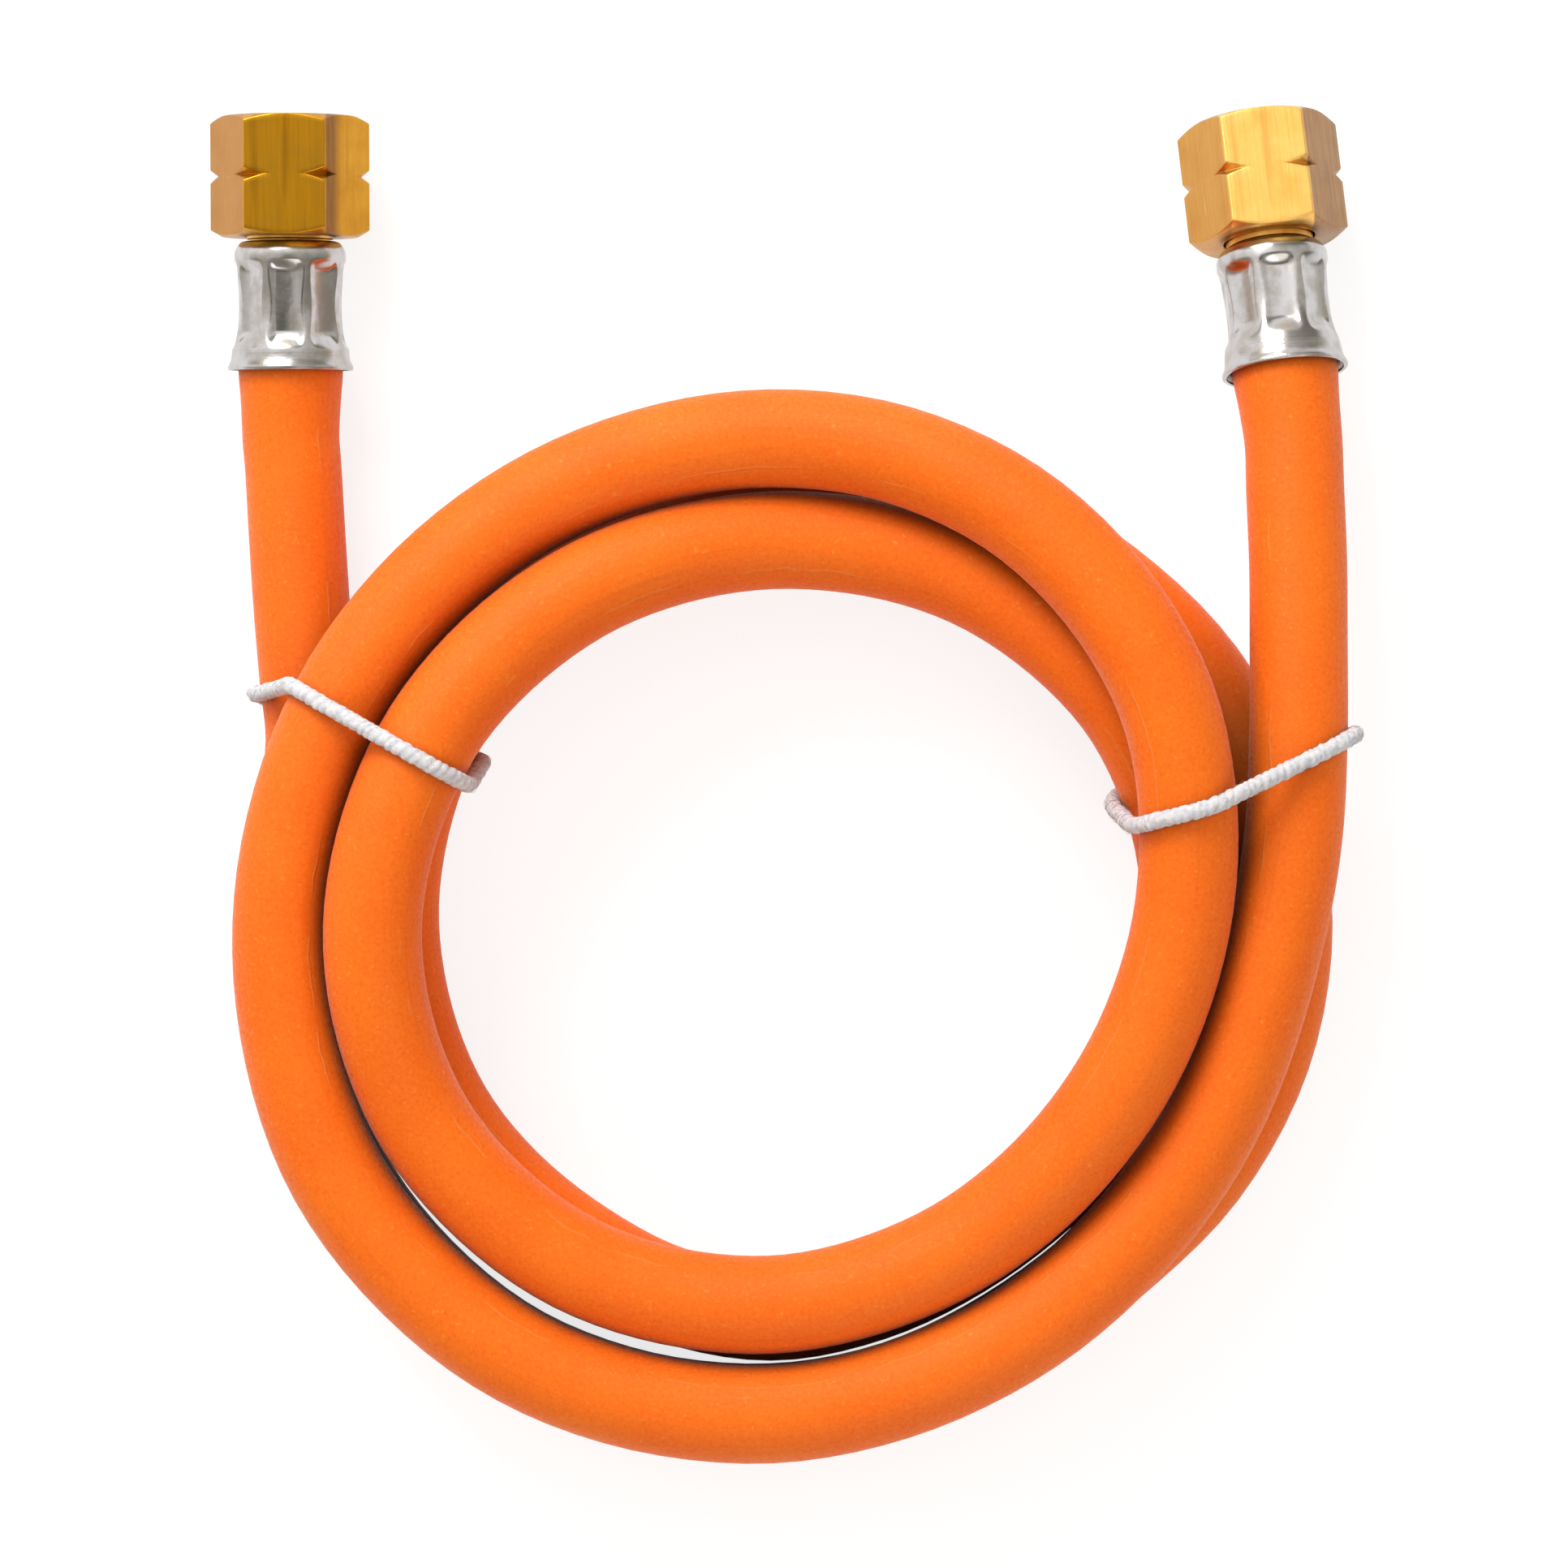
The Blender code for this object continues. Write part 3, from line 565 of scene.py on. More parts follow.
def nipple_profile():
    """Section of the nipple on one side of its axis: the barbed tail, the grooved neck and the ball nose."""
    bore = NIPPLE_BORE / 2
    root = BARB_CREST - BARB_DEPTH
    tail = -TAIL_PAST_FERRULE
    pitch = (STOP_PLACE - tail) / (BARB_COUNT + 0.5)
    groove_front = FERRULE_LENGTH + GAP
    groove_back = groove_front - FERRULE_WALL - 2 * GAP
    ball = COLLAR_RADIUS + NOSE_BALL_EXTRA
    collar_front = COLLAR_PLACE + COLLAR_THICKNESS
    start = math.acos(COLLAR_RADIUS / ball)
    end = math.acos(NOSE_FLAT / 2 / ball)
    ball_centre = collar_front - ball * math.sin(start)
    nose = []
    for i in range(NOSE_ARC_STEPS + 1):
        angle = end + (start - end) * i / NOSE_ARC_STEPS
        nose.append((ball * math.cos(angle), ball_centre + ball * math.sin(angle)))
    barbs = []
    for i in reversed(range(BARB_COUNT)):
        back = tail + i * pitch
        barbs += [(root, back + pitch), (BARB_CREST, back + 0.85 * pitch), (BARB_CREST, back + 0.65 * pitch)]
    return [
        (bore, nose[0][1]),
        *nose,
        (COLLAR_RADIUS, COLLAR_PLACE),
        (NECK_RADIUS, COLLAR_PLACE),
        (NECK_RADIUS, groove_front),
        (NECK_RADIUS - GROOVE_DEPTH, groove_front),
        (NECK_RADIUS - GROOVE_DEPTH, groove_back),
        (NECK_RADIUS, groove_back),
        (NECK_RADIUS, STOP_PLACE),
        (root, STOP_PLACE),
        *barbs,
        (root, tail),
        (bore, tail),
    ]


def make_nipple(side, frame):
    """The turned nipple, with broken edges."""
    profile = rounded_profile(nipple_profile(), NIPPLE_EDGE)
    nipple = turned_piece(f"barbed_nipple_{side}", profile, NIPPLE_STEPS)
    nipple.matrix_world = frame
    return nipple


def nut_columns():
    """Angles of the nut's columns, closer together at the hexagon's corners."""
    offsets = [0, 0.25, 0.5, 0.8, 1.3, 2.2, 3.6, 5.6, 8, 11, 14, 17, 20, 23, 26.5, 30]
    angles = []
    for k in range(6):
        corner = 60 * k
        angles += [corner - o for o in reversed(offsets[1:-1])]
        angles += [corner + o for o in offsets]
    return [math.radians(a) for a in angles]


def hexagon_radius(turn):
    """Distance from the axis to the hexagon's side, with the corners a little rounded."""
    flat = NUT_ACROSS_FLATS / 2
    folded = (turn + math.pi / 6) % (math.pi / 3) - math.pi / 6
    near, far = flat / math.cos(math.pi / 6 - abs(folded)), flat / math.cos(math.pi / 6 + abs(folded))
    mixed = max(CORNER_SOFTNESS - abs(near - far), 0) / CORNER_SOFTNESS
    return min(near, far) - mixed * mixed * CORNER_SOFTNESS * 0.25


def nut_section(turn):
    """Outer profile of the nut at one angle, from its mouth face to its back face."""
    rho = hexagon_radius(turn)
    slope = math.tan(CHAMFER_ANGLE)
    corner = NUT_ACROSS_FLATS / math.sqrt(3)
    middle = NUT_LENGTH / 2
    fall = max(rho - FACE_RADIUS, 0.02 * MM) * slope
    half = max(rho - NOTCH_ROOT, 0) / (corner - NOTCH_ROOT) * NOTCH_WIDTH / 2
    root = min(NOTCH_ROOT, rho)
    face = min(FACE_RADIUS, rho - 0.02 * MM)
    points = [(face, NUT_LENGTH), (rho, NUT_LENGTH - fall)]
    upper, lower = NUT_LENGTH - fall, middle + half
    points += [(rho, upper + (lower - upper) * k / FLAT_PIECES) for k in range(1, FLAT_PIECES)]
    points += [(rho, middle + half), (root, middle), (rho, middle - half)]
    upper, lower = middle - half, fall
    points += [(rho, upper + (lower - upper) * k / FLAT_PIECES) for k in range(1, FLAT_PIECES)]
    points += [(rho, fall), (face, 0)]
    return soft_corners(points)


def soft_corners(points):
    """Cuts every real corner of the section to a small arc, with the same number of points at any angle."""
    result = [points[0]]
    for before, point, after in zip(points, points[1:], points[2:]):
        here, back, on = Vector(point), Vector(before) - Vector(point), Vector(after) - Vector(point)
        reach = min(NUT_EDGE, back.length * 0.35, on.length * 0.35)
        a = here + back.normalized() * reach if back.length > 1e-8 else here
        b = here + on.normalized() * reach if on.length > 1e-8 else here
        for t in (0, 0.33, 0.67, 1):
            result.append(tuple(a * (1 - t) ** 2 + here * 2 * t * (1 - t) + b * t**2))
    return result + [points[-1]]


def thread_radius(turn, height):
    """Radius of the nut's left-hand thread."""
    phase = (height / THREAD_PITCH + turn / (2 * math.pi)) % 1
    wave = 1 - abs(2 * phase - 1)
    wave = smoothstep(0.12, 0.88, wave) * 0.6 + wave * 0.4
    start = NUT_BACK_WALL + RELIEF_LENGTH
    fade = smoothstep(start, start + THREAD_START_FADE, height) * (1 - smoothstep(*THREAD_MOUTH_FADE, height))
    return THREAD_MINOR / 2 + wave * fade * (THREAD_MAJOR - THREAD_MINOR) / 2


def make_nut(side, frame, place):
    """The union nut: hexagonal bar with turned chamfers, corner notches, back hole and left-hand thread."""
    angles = nut_columns()
    minor, relief = THREAD_MINOR / 2, THREAD_RELIEF / 2
    relief_end = NUT_BACK_WALL + RELIEF_LENGTH
    thread_start = relief_end + relief - minor
    first_row = thread_start + 0.01 * MM
    back_hole = NECK_RADIUS + GAP
    columns = []
    for turn in angles:
        inner = [(back_hole + BACK_HOLE_EDGE, 0), (back_hole, BACK_HOLE_EDGE), (back_hole, NUT_BACK_WALL)]
        inner += [(relief, NUT_BACK_WALL), (relief, relief_end), (minor, thread_start)]
        for k in range(THREAD_ROWS + 1):
            height = first_row + (THREAD_END - thread_start - 0.01 * MM) * k / THREAD_ROWS
            inner.append((thread_radius(turn, height), height))
        inner += [(FACE_RADIUS - 1.0 * MM, NUT_LENGTH)]
        columns.append(nut_section(turn) + inner)
    rows = len(columns[0])
    steps = len(angles)
    verts = []
    for i in range(rows):
        for turn, column in zip(angles, columns):
            radius, height = column[i]
            verts.append((radius * math.cos(turn), radius * math.sin(turn), height))
    nut = new_piece(f"hexagon_nut_{side}", verts, ring_faces(rows, steps, True), sharp=math.radians(40))
    nut.matrix_world = frame @ Matrix.Translation((0, 0, place))
    return nut


def crossings(centres, pivot, angle):
    """Where the hose passes the upright half-plane at an angle: distance, height, half its slanted width."""
    outward = Vector((math.cos(angle), math.sin(angle), 0))
    across = Vector((-outward.y, outward.x, 0))
    found = []
    for a, b in zip(centres, centres[1:]):
        from_a, from_b = (a - pivot).dot(across), (b - pivot).dot(across)
        if from_a * from_b > 0 or from_a == from_b:
            continue
        point = a.lerp(b, from_a / (from_a - from_b)) - pivot
        if point.dot(outward) > 0:
            straightness = abs((b - a).normalized().dot(across))
            found.append((point.dot(outward), point.z, HOSE_RADIUS / straightness))
    return found


def furthest(crossed, way):
    """Which of those crossings a taut loop touches where it faces that way."""
    side, up = math.cos(way), math.sin(way)
    reaches = [
        distance * side + height * up + math.hypot(half * side, HOSE_RADIUS * up)
        for distance, height, half in crossed
    ]
    return reaches.index(max(reaches))


def loop_point(crossing, way):
    """Distance and height of the loop at that crossing, where it faces that way."""
    distance, height, half = crossing
    side, up = math.cos(way), math.sin(way)
    support = math.hypot(half * side, HOSE_RADIUS * up)
    reach = TIE_GAP + TIE_RADIUS
    out = distance + half * half * side / support + reach * side
    rise = height + HOSE_RADIUS * HOSE_RADIUS * up / support + reach * up
    return out, rise


def shift_at(shifts, distance):
    """Sideways shift at a distance from the pivot, between the listed ones."""
    before = after = shifts[0]
    for after in shifts:
        if after[0] * MM >= distance:
            break
        before = after
    if after[0] == before[0]:
        return after[1] * MM
    share = min((distance - before[0] * MM) / ((after[0] - before[0]) * MM), 1)
    return (before[1] + (after[1] - before[1]) * share) * MM


def tie_points(centres, pivot, angle, above, below):
    """A taut loop round every turn."""
    outward = Vector((math.cos(angle), math.sin(angle), 0))
    across = Vector((-outward.y, outward.x, 0))
    crossed = crossings(centres, pivot, angle)
    points = []
    for i in range(TIE_WAYS):
        way = 2 * math.pi * (i + 0.5) / TIE_WAYS
        strand = furthest(crossed, way)
        out, rise = loop_point(crossed[strand], way)
        high = min(max((rise - TIE_LOW) / (TIE_HIGH - TIE_LOW), 0), 1)
        shift = shift_at(above, out) * high + shift_at(below, out) * (1 - high)
        moved = pivot + across * shift
        out, rise = loop_point(crossings(centres, moved, angle)[strand], way)
        points.append(moved + outward * out + Vector((0, 0, rise)))
    return points


def evened(points, spacing):
    """A closed line through the points, at an even spacing, with its corners eased."""
    loop = points + [points[0]]
    total = sum((b - a).length for a, b in zip(loop, loop[1:]))
    count = round(total / spacing)
    result = []
    i, passed = 0, 0.0
    for k in range(count):
        target = total * k / count
        while passed + (loop[i + 1] - loop[i]).length < target:
            passed += (loop[i + 1] - loop[i]).length
            i += 1
        step = loop[i + 1] - loop[i]
        result.append(loop[i] + step * ((target - passed) / step.length if step.length else 0))
    return result


def make_tie(side, centres, pivot, angle, above, below, seed):
    """The yarn-covered elastic: wound ribs that swell and lean unevenly, and the frames for its loose fibres.
    """
    points = evened(tie_points(centres, pivot, angle, above, below), TIE_SPACING)
    for _ in range(TIE_EASING):
        following = points[1:] + points[:1]
        points = [(points[i - 1] + point * 2 + following[i]) / 4 for i, point in enumerate(points)]
    ways = tangents(points, cyclic=True)
    total = TIE_SPACING * len(points)
    turns = round(total / YARN_TURN_LENGTH)
    plane_side = Vector((math.cos(angle), math.sin(angle), 0)).cross(Vector((0, 0, 1)))
    verts, uvs = [], []
    frames = []
    for i, (point, way) in enumerate(zip(points, ways)):
        first = (plane_side - way * plane_side.dot(way)).normalized()
        second = way.cross(first)
        frames.append((point, first, second, way))
        along = i / len(points)
        lean = noise.noise(Vector((along * 41, seed, 0)))
        for j in range(TIE_SIDES):
            turn = 2 * math.pi * j / TIE_SIDES
            rib = math.sin(YARN_STARTS * turn / 2 + math.pi * turns * along * YARN_STARTS + lean * 2.5)
            groove = (1 - abs(rib)) ** 1.5
            spot = Vector((along * total / YARN_LUMP_LENGTH, seed + math.cos(turn), math.sin(turn)))
            lump = noise.noise(spot)
            radius = TIE_RADIUS * (1.03 - 0.17 * groove + 0.14 * lump)
            out = first * math.cos(turn) + second * math.sin(turn)
            verts.append(point + out * radius)
            uvs.append((i * TIE_SPACING, j / TIE_SIDES))
    tie = new_piece(f"covered_elastic_{side}", verts, ring_faces(len(points), TIE_SIDES, True), uvs)
    return tie, frames


def make_fuzz(side, frames, seed, fibres):
    """Short loose fibres on a tie."""
    source = random.Random(seed)
    verts, faces = [], []
    for _ in range(fibres):
        index = source.randrange(len(frames))
        point, first, second, way = frames[index]
        turn = source.uniform(0, 2 * math.pi)
        out = first * math.cos(turn) + second * math.sin(turn)
        around = way.cross(out)
        lean = (way * source.uniform(-1, 1) + around * source.uniform(-1, 1)).normalized()
        length = source.uniform(*FIBRE_LENGTHS) * MM
        rise = source.uniform(*FIBRE_RISES)
        beside = way.cross(lean).normalized()
        base = len(verts)
        for k in range(FIBRE_PIECES + 1):
            t = k / FIBRE_PIECES
            lifted = TIE_RADIUS * 0.94 + rise * length * math.sin(t * 2.4)
            centre = point + out * lifted + lean * length * (t - 0.5)
            for c in range(FIBRE_SIDES):
                spin = 2 * math.pi * c / FIBRE_SIDES
                verts.append(centre + (out * math.cos(spin) + beside * math.sin(spin)) * FIBRE_RADIUS)
        rings = ring_faces(FIBRE_PIECES + 1, FIBRE_SIDES)
        faces += [tuple(base + v for v in face) for face in rings]
        last = base + FIBRE_PIECES * FIBRE_SIDES
        faces.append((base + 2, base + 1, base))
        faces.append((last, last + 1, last + 2))
    return new_piece(f"loose_fibres_{side}", verts, faces)


# Materials


class Nodes:
    """A small helper that builds a node tree."""

    def __init__(self, name):
        self.material = bpy.data.materials.new(name)
        self.material.use_nodes = True
        self.tree = self.material.node_tree
        self.shader = self.tree.nodes["Principled BSDF"]

    def add(self, kind, inputs=(), **settings):
        node = self.tree.nodes.new(kind)
        for key, value in settings.items():
            setattr(node, key, value)
        for key, value in dict(inputs).items():
            self.feed(node, key, value)
        return node

    def feed(self, node, key, value):
        socket = node.inputs[key]
        if isinstance(value, bpy.types.NodeSocket):
            self.tree.links.new(value, socket)
        else:
            socket.default_value = value

    def set(self, **values):
        for key, value in values.items():
            self.feed(self.shader, key.replace("_", " "), value)

    def noise(self, vector, scale, detail=3.0, rough=0.5):
        inputs = {"Vector": vector, "Scale": scale, "Detail": detail, "Roughness": rough}
        return self.add("ShaderNodeTexNoise", inputs).outputs["Fac"]

    def spread(self, value, low, high, to_low=0.0, to_high=1.0):
        inputs = {"Value": value, "From Min": low, "From Max": high, "To Min": to_low, "To Max": to_high}
        return self.add("ShaderNodeMapRange", inputs).outputs["Result"]

    def mix(self, factor, a, b, blend="MIX"):
        node = self.add("ShaderNodeMix", data_type="RGBA", blend_type=blend)
        self.feed(node, 0, factor)
        self.feed(node, 6, a)
        self.feed(node, 7, b)
        return node.outputs[2]

    def math(self, operation, a, b=0.0):
        node = self.add("ShaderNodeMath", operation=operation)
        self.feed(node, 0, a)
        self.feed(node, 1, b)
        return node.outputs[0]

    def stretched(self, vector, scale):
        node = self.add("ShaderNodeMapping", {"Vector": vector, "Scale": scale})
        return node.outputs["Vector"]

    def bump(self, height, strength, distance, normal=None):
        inputs = {"Height": height, "Strength": strength, "Distance": distance}
        if normal is not None:
            inputs["Normal"] = normal
        return self.add("ShaderNodeBump", inputs).outputs["Normal"]


def colour(shown):
    """Linear colour from the 0 to 255 values that a picture shows."""
    values = []
    for v in shown:
        v /= 255
        values.append(v / 12.92 if v <= 0.04045 else ((v + 0.055) / 1.055) ** 2.4)
    return (*values, 1)


def rubber_material():
    """Matt orange rubber: a chalky bloom in specks and clouds, drawn lines along it, a faint wavy seam, and
    painted shade where turns lie close.
    """
    n = Nodes("orange rubber")
    place = n.add("ShaderNodeTexCoord").outputs["Object"]
    uv = n.add("ShaderNodeUVMap", uv_map="UVMap").outputs["UV"]
    clouds = n.noise(place, 75, 4)
    grain = n.noise(place, 1900, 3, 0.65)
    specks = n.noise(place, 1300, 2, 0.55)
    base = n.mix(n.spread(clouds, 0.35, 0.7), colour(RUBBER), colour(RUBBER_CLOUDS))
    base = n.mix(n.spread(grain, 0.5, 0.72, 0, 0.45), base, colour(RUBBER_LIGHT_GRAIN))
    base = n.mix(n.spread(grain, 0.46, 0.3, 0, 0.4), base, colour(RUBBER_DARK_GRAIN))
    base = n.mix(n.spread(specks, 0.64, 0.76, 0, 0.45), base, colour(RUBBER_SPECKS))
    drawn = n.noise(n.stretched(uv, (28, 46, 1)), 1.0, 3)
    base = n.mix(n.spread(drawn, 0.6, 0.72, 0, 0.22), base, colour(RUBBER_DRAWN_LINES))
    around = n.add("ShaderNodeSeparateXYZ", {"Vector": uv}).outputs["Y"]
    waver = n.spread(n.noise(n.stretched(uv, (160, 0, 1)), 1.0, 3), 0, 1, -SEAM_WAVER, SEAM_WAVER)
    offset = n.math("SUBTRACT", n.math("ADD", around, waver), SEAM_PLACE)
    seam = n.spread(n.math("ABSOLUTE", offset), SEAM_WIDTH, 0)
    seam = n.math("MULTIPLY", seam, n.spread(clouds, 0.5, 0.6))
    base = n.mix(n.math("MULTIPLY", seam, 0.3), base, colour(RUBBER_SEAM))
    # Painted shade: the base colour is darkened towards FOLD_PAINTED_SHADE where ambient occlusion finds
    # other turns close by
    open_side = n.add("ShaderNodeAmbientOcclusion", {"Distance": FOLD_REACH}, samples=6).outputs["AO"]
    fold_painted_shade = n.mix(n.spread(open_side, 0.15, 0.75), FOLD_PAINTED_SHADE, (1, 1, 1, 1))
    base = n.mix(1.0, base, fold_painted_shade, "MULTIPLY")
    height = n.math("ADD", n.math("MULTIPLY", grain, 0.6), n.math("MULTIPLY", specks, 0.5))
    normal = n.bump(height, 0.4, 0.00012)
    normal = n.bump(drawn, 0.2, 0.0003, normal)
    normal = n.bump(seam, 0.6, 0.00015, normal)
    sheen = n.spread(grain, 0.35, 0.7, 0.02, 0.34)
    n.set(Base_Color=base, Roughness=0.62, Normal=normal, Sheen_Weight=sheen)
    n.shader.inputs["Specular IOR Level"].default_value = 0.3
    n.shader.inputs["Sheen Roughness"].default_value = 0.4
    n.shader.inputs["Sheen Tint"].default_value = (1, 1, 1, 1)
    return n.material


def brass_material(name, bright, dull, stain, left_painted_shade, right_painted_shade, shade_strip):
    """Bar brass: fine lines along the axis, tarnish in clouds, painted shade on the sides, a few scratches.

    In a fitting's own frame +X is the picture's left. The right side carries darker painted shade, standing
    in for a dim reflection, from its corner to the strip.
    """
    n = Nodes(name)
    place = n.add("ShaderNodeTexCoord").outputs["Object"]
    lines = n.noise(n.stretched(place, (2600, 2600, 90)), 1.0, 4, 0.6)
    broad = n.noise(n.stretched(place, (520, 520, 30)), 1.0, 3)
    clouds = n.noise(place, 190, 4, 0.6)
    base = n.mix(n.spread(clouds, 0.35, 0.7), colour(bright), colour(dull))
    base = n.mix(n.spread(broad, 0.55, 0.72, 0, 0.55), base, colour(stain))
    across = n.add("ShaderNodeSeparateXYZ", {"Vector": place}).outputs["X"]
    past_corner = n.spread(across, -CORNER_PLACE, -CORNER_PLACE - 0.3 * MM)
    right = n.math("MULTIPLY", past_corner, n.spread(across, -shade_strip - MM, -shade_strip))
    # Painted shade: the left side past its corner and the right side up to the strip are darkened, standing
    # in for dim reflections
    base = n.mix(n.spread(across, CORNER_PLACE, CORNER_PLACE + 0.3 * MM, 0, 0.8), base, colour(left_painted_shade))
    base = n.mix(n.math("MULTIPLY", right, 0.9), base, colour(right_painted_shade))
    base = n.mix(n.spread(lines, 0.35, 0.75, 0, 0.4), base, colour(dull))
    slanted = {"Vector": place, "Rotation": (0.3, 0.5, 0.7), "Scale": (150, 4200, 150)}
    scratch = n.noise(n.add("ShaderNodeMapping", slanted).outputs["Vector"], 1.0, 2)
    base = n.mix(n.spread(scratch, 0.73, 0.78, 0, 0.6), base, colour(bright))
    worn = n.math("ADD", n.math("MULTIPLY", clouds, 0.6), n.math("MULTIPLY", lines, 0.4))
    rough = n.spread(worn, 0.3, 0.7, 0.26, 0.46)
    normal = n.bump(lines, 0.28, 0.00006)
    normal = n.bump(broad, 0.3, 0.0001, normal)
    n.set(Base_Color=base, Metallic=1.0, Roughness=rough, Normal=normal)
    return n.material


def plating_material():
    """Bright plated steel: faint ripples from the crimp and turning lines near the mouth."""
    n = Nodes("bright plating")
    place = n.add("ShaderNodeTexCoord").outputs["Object"]
    ripple = n.noise(place, 420, 3)
    grain = n.noise(place, 5200, 2, 0.6)
    height = n.add("ShaderNodeSeparateXYZ", {"Vector": place}).outputs["Z"]
    rings = n.noise(n.stretched(place, (60, 60, 9000)), 1.0, 2)
    near_mouth = n.spread(height, 0.0052, 0.0016)
    tint = n.mix(n.spread(ripple, 0.4, 0.62, 0, 0.5), colour(PLATING), colour(PLATING_DULL))
    normal = n.bump(ripple, 0.18, 0.0002)
    normal = n.bump(grain, 0.1, 0.00003, normal)
    normal = n.bump(n.math("MULTIPLY", rings, near_mouth), 0.35, 0.00008, normal)
    n.set(Base_Color=tint, Metallic=1.0, Roughness=n.spread(ripple, 0.35, 0.65, 0.17, 0.27), Normal=normal)
    return n.material


def yarn_material():
    """White yarn wound round the elastic, with bluish and warm threads."""
    n = Nodes("white yarn")
    place = n.add("ShaderNodeTexCoord").outputs["Object"]
    uv = n.add("ShaderNodeUVMap", uv_map="UVMap").outputs["UV"]
    threads = n.noise(n.stretched(uv, (1500, 9, 1)), 1.0, 3)
    patches = n.noise(place, 1500, 2)
    base = n.mix(n.spread(patches, 0.4, 0.62), colour(YARN), colour(YARN_BLUISH))
    base = n.mix(n.spread(threads, 0.5, 0.7, 0, 0.35), base, colour(YARN_WARM))
    normal = n.bump(threads, 0.6, 0.0002)
    normal = n.bump(n.noise(place, 4200, 2), 0.5, 0.0001, normal)
    n.set(Base_Color=base, Roughness=0.9, Normal=normal)
    n.shader.inputs["Specular IOR Level"].default_value = 0.2
    return n.material


def floor_material():
    """White paper: the camera and the metal see it nearly white by itself, and it keeps a faint shadow."""
    n = Nodes("white floor")
    rays = n.add("ShaderNodeLightPath").outputs
    mirrored = n.math("MAXIMUM", rays["Is Glossy Ray"], rays["Is Transmission Ray"])
    seen = n.math("MAXIMUM", rays["Is Camera Ray"], mirrored)
    n.set(Base_Color=n.mix(seen, FLOOR_PLAIN, FLOOR_SEEN), Roughness=0.9)
    n.shader.inputs["Specular IOR Level"].default_value = 0.1
    n.shader.inputs["Emission Color"].default_value = (1, 1, 1, 1)
    n.feed(n.shader, "Emission Strength", n.spread(seen, 0, 1, 0.0, FLOOR_GLOW))
    return n.material


# Stage


def make_world():
    """Soft light, strongest from the picture's top, with a dark patch overhead where the camera stood."""
    world = bpy.data.worlds.new("studio")
    bpy.context.scene.world = world
    world.use_nodes = True
    tree = world.node_tree
    tree.nodes.clear()

    def ramp(value, stops):
        node = tree.nodes.new("ShaderNodeValToRGB")
        tree.links.new(value, node.inputs[0])
        for i, (position, shade) in enumerate(stops):
            stop = node.color_ramp.elements[i] if i < 2 else node.color_ramp.elements.new(position)
            stop.position = position
            stop.color = (shade, shade, shade, 1)
        return node.outputs[0]

    def scaled(value, factor):
        node = tree.nodes.new("ShaderNodeMath")
        node.operation = "MULTIPLY"
        tree.links.new(value, node.inputs[0])
        if isinstance(factor, bpy.types.NodeSocket):
            tree.links.new(factor, node.inputs[1])
        else:
            node.inputs[1].default_value = factor
        return node.outputs[0]

    place = tree.nodes.new("ShaderNodeTexCoord")
    half = tree.nodes.new("ShaderNodeVectorMath")
    half.operation = "MULTIPLY_ADD"
    half.inputs[1].default_value = half.inputs[2].default_value = (0.5, 0.5, 0.5)
    tree.links.new(place.outputs["Generated"], half.inputs[0])
    split = tree.nodes.new("ShaderNodeSeparateXYZ")
    tree.links.new(half.outputs[0], split.inputs[0])
    near_camera = tree.nodes.new("ShaderNodeVectorMath")
    near_camera.operation = "DOT_PRODUCT"
    near_camera.inputs[1].default_value = CAMERA_PATCH
    tree.links.new(place.outputs["Generated"], near_camera.inputs[0])
    strength = scaled(ramp(split.outputs["Y"], WORLD_UP), ramp(split.outputs["X"], WORLD_ACROSS))
    strength = scaled(strength, ramp(near_camera.outputs["Value"], WORLD_PATCH))
    tint = tree.nodes.new("ShaderNodeValToRGB")
    tint.color_ramp.elements[0].color = WORLD_SHADE
    tint.color_ramp.elements[1].color = (1, 1, 1, 1)
    tree.links.new(strength, tint.inputs[0])
    sky = tree.nodes.new("ShaderNodeBackground")
    tree.links.new(tint.outputs[0], sky.inputs[0])
    tree.links.new(scaled(strength, WORLD_LEVEL), sky.inputs[1])
    out = tree.nodes.new("ShaderNodeOutputWorld")
    tree.links.new(sky.outputs[0], out.inputs[0])


def make_lamp(name, place, size, energy):
    """A square area lamp that faces the coil."""
    lamp = bpy.data.lights.new(name, "AREA")
    lamp.size = size
    lamp.energy = energy
    obj = bpy.data.objects.new(name, lamp)
    bpy.context.scene.collection.objects.link(obj)
    obj.location = place
    obj.rotation_euler = (-Vector(place)).to_track_quat("-Z", "Y").to_euler()


def make_camera():
    """A camera straight above the coil, with the picture's top along +Y."""
    camera = bpy.data.cameras.new("camera")
    camera.lens = LENS
    camera.sensor_width = SENSOR
    obj = bpy.data.objects.new("camera", camera)
    bpy.context.scene.collection.objects.link(obj)
    obj.location = (0, 0, CAMERA_HEIGHT)
    bpy.context.scene.camera = obj


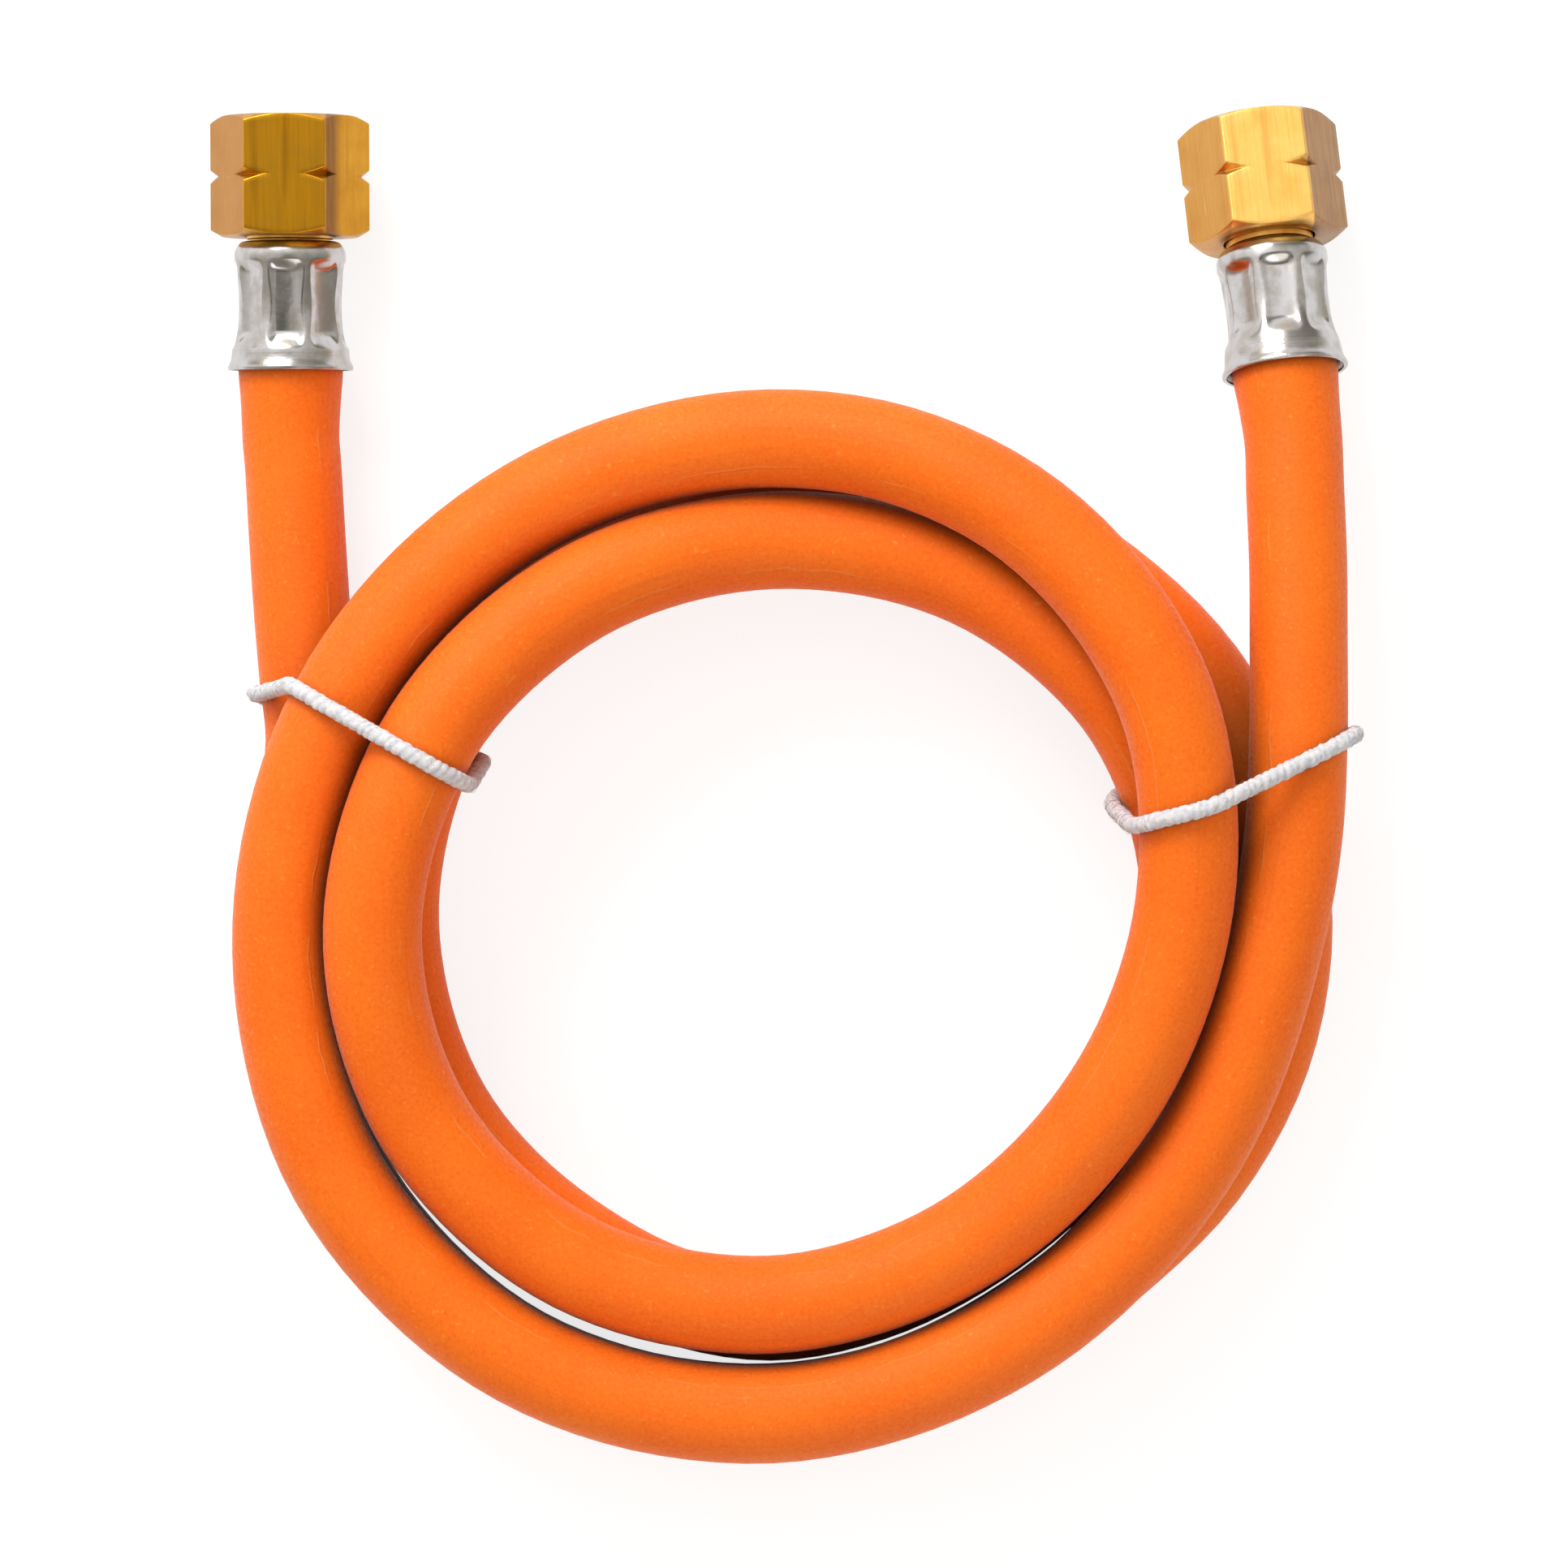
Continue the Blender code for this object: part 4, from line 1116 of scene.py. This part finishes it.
def make_stage():
    """Floor, lamps and world."""
    half = FLOOR_HALF
    verts = [(-half, -half, 0), (half, -half, 0), (half, half, 0), (-half, half, 0)]
    floor = new_piece("floor", verts, [(0, 1, 2, 3)], smooth=False)
    floor.data.materials.append(floor_material())
    make_lamp("key", *KEY_LAMP)
    make_lamp("fill", *FILL_LAMP)
    make_world()
    bpy.context.scene.view_settings.view_transform = "Standard"


def finish_piece(piece, material, body):
    """Gives a piece its material and the body that it rides on."""
    piece.data.materials.clear()
    piece.data.materials.append(material)
    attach(piece, body)


def main():
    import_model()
    make_camera()

    hose, centres = make_hose()
    finish_piece(hose, rubber_material(), "hose_assembly")
    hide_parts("hose")

    bright_brass = brass_material("bright brass", **BRIGHT_BRASS)
    aged_brass = brass_material("aged brass", **AGED_BRASS)
    plating = plating_material()
    yarn = yarn_material()

    on_hose = []
    for side, frame, mouth_end, place, nut_brass, nut_slot in (
        ("left", left_frame(), LEFT_DIMPLE_MOUTH_END, LEFT_NUT_PLACE, aged_brass, "aged_brass"),
        ("right", right_frame(), RIGHT_DIMPLE_MOUTH_END, RIGHT_NUT_PLACE, bright_brass, "brass"),
    ):
        ferrule = make_ferrule(side, frame, mouth_end)
        finish_piece(ferrule, plating, "hose_assembly")
        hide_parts(f"{side}_ferrule")
        nipple = make_nipple(side, frame)
        finish_piece(nipple, bright_brass, "hose_assembly")
        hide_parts(f"{side}_nipple")
        nut = make_nut(side, frame, place)
        finish_piece(nut, nut_brass, f"{side}_nut")
        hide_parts(f"{side}_union_nut")
        on_hose += [ferrule, nipple, nut]

    for side, place_and_shifts, seed, fibres in (("left", LEFT_TIE, 3, 1200), ("right", RIGHT_TIE, 8, 2400)):
        tie, frames = make_tie(side, centres, *place_and_shifts, seed)
        finish_piece(tie, yarn, "hose_assembly")
        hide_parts(f"{side}_tie")
        fuzz = make_fuzz(side, frames, seed, fibres)
        finish_piece(fuzz, yarn, "hose_assembly")
        on_hose += [tie, fuzz]

    make_stage()


main()
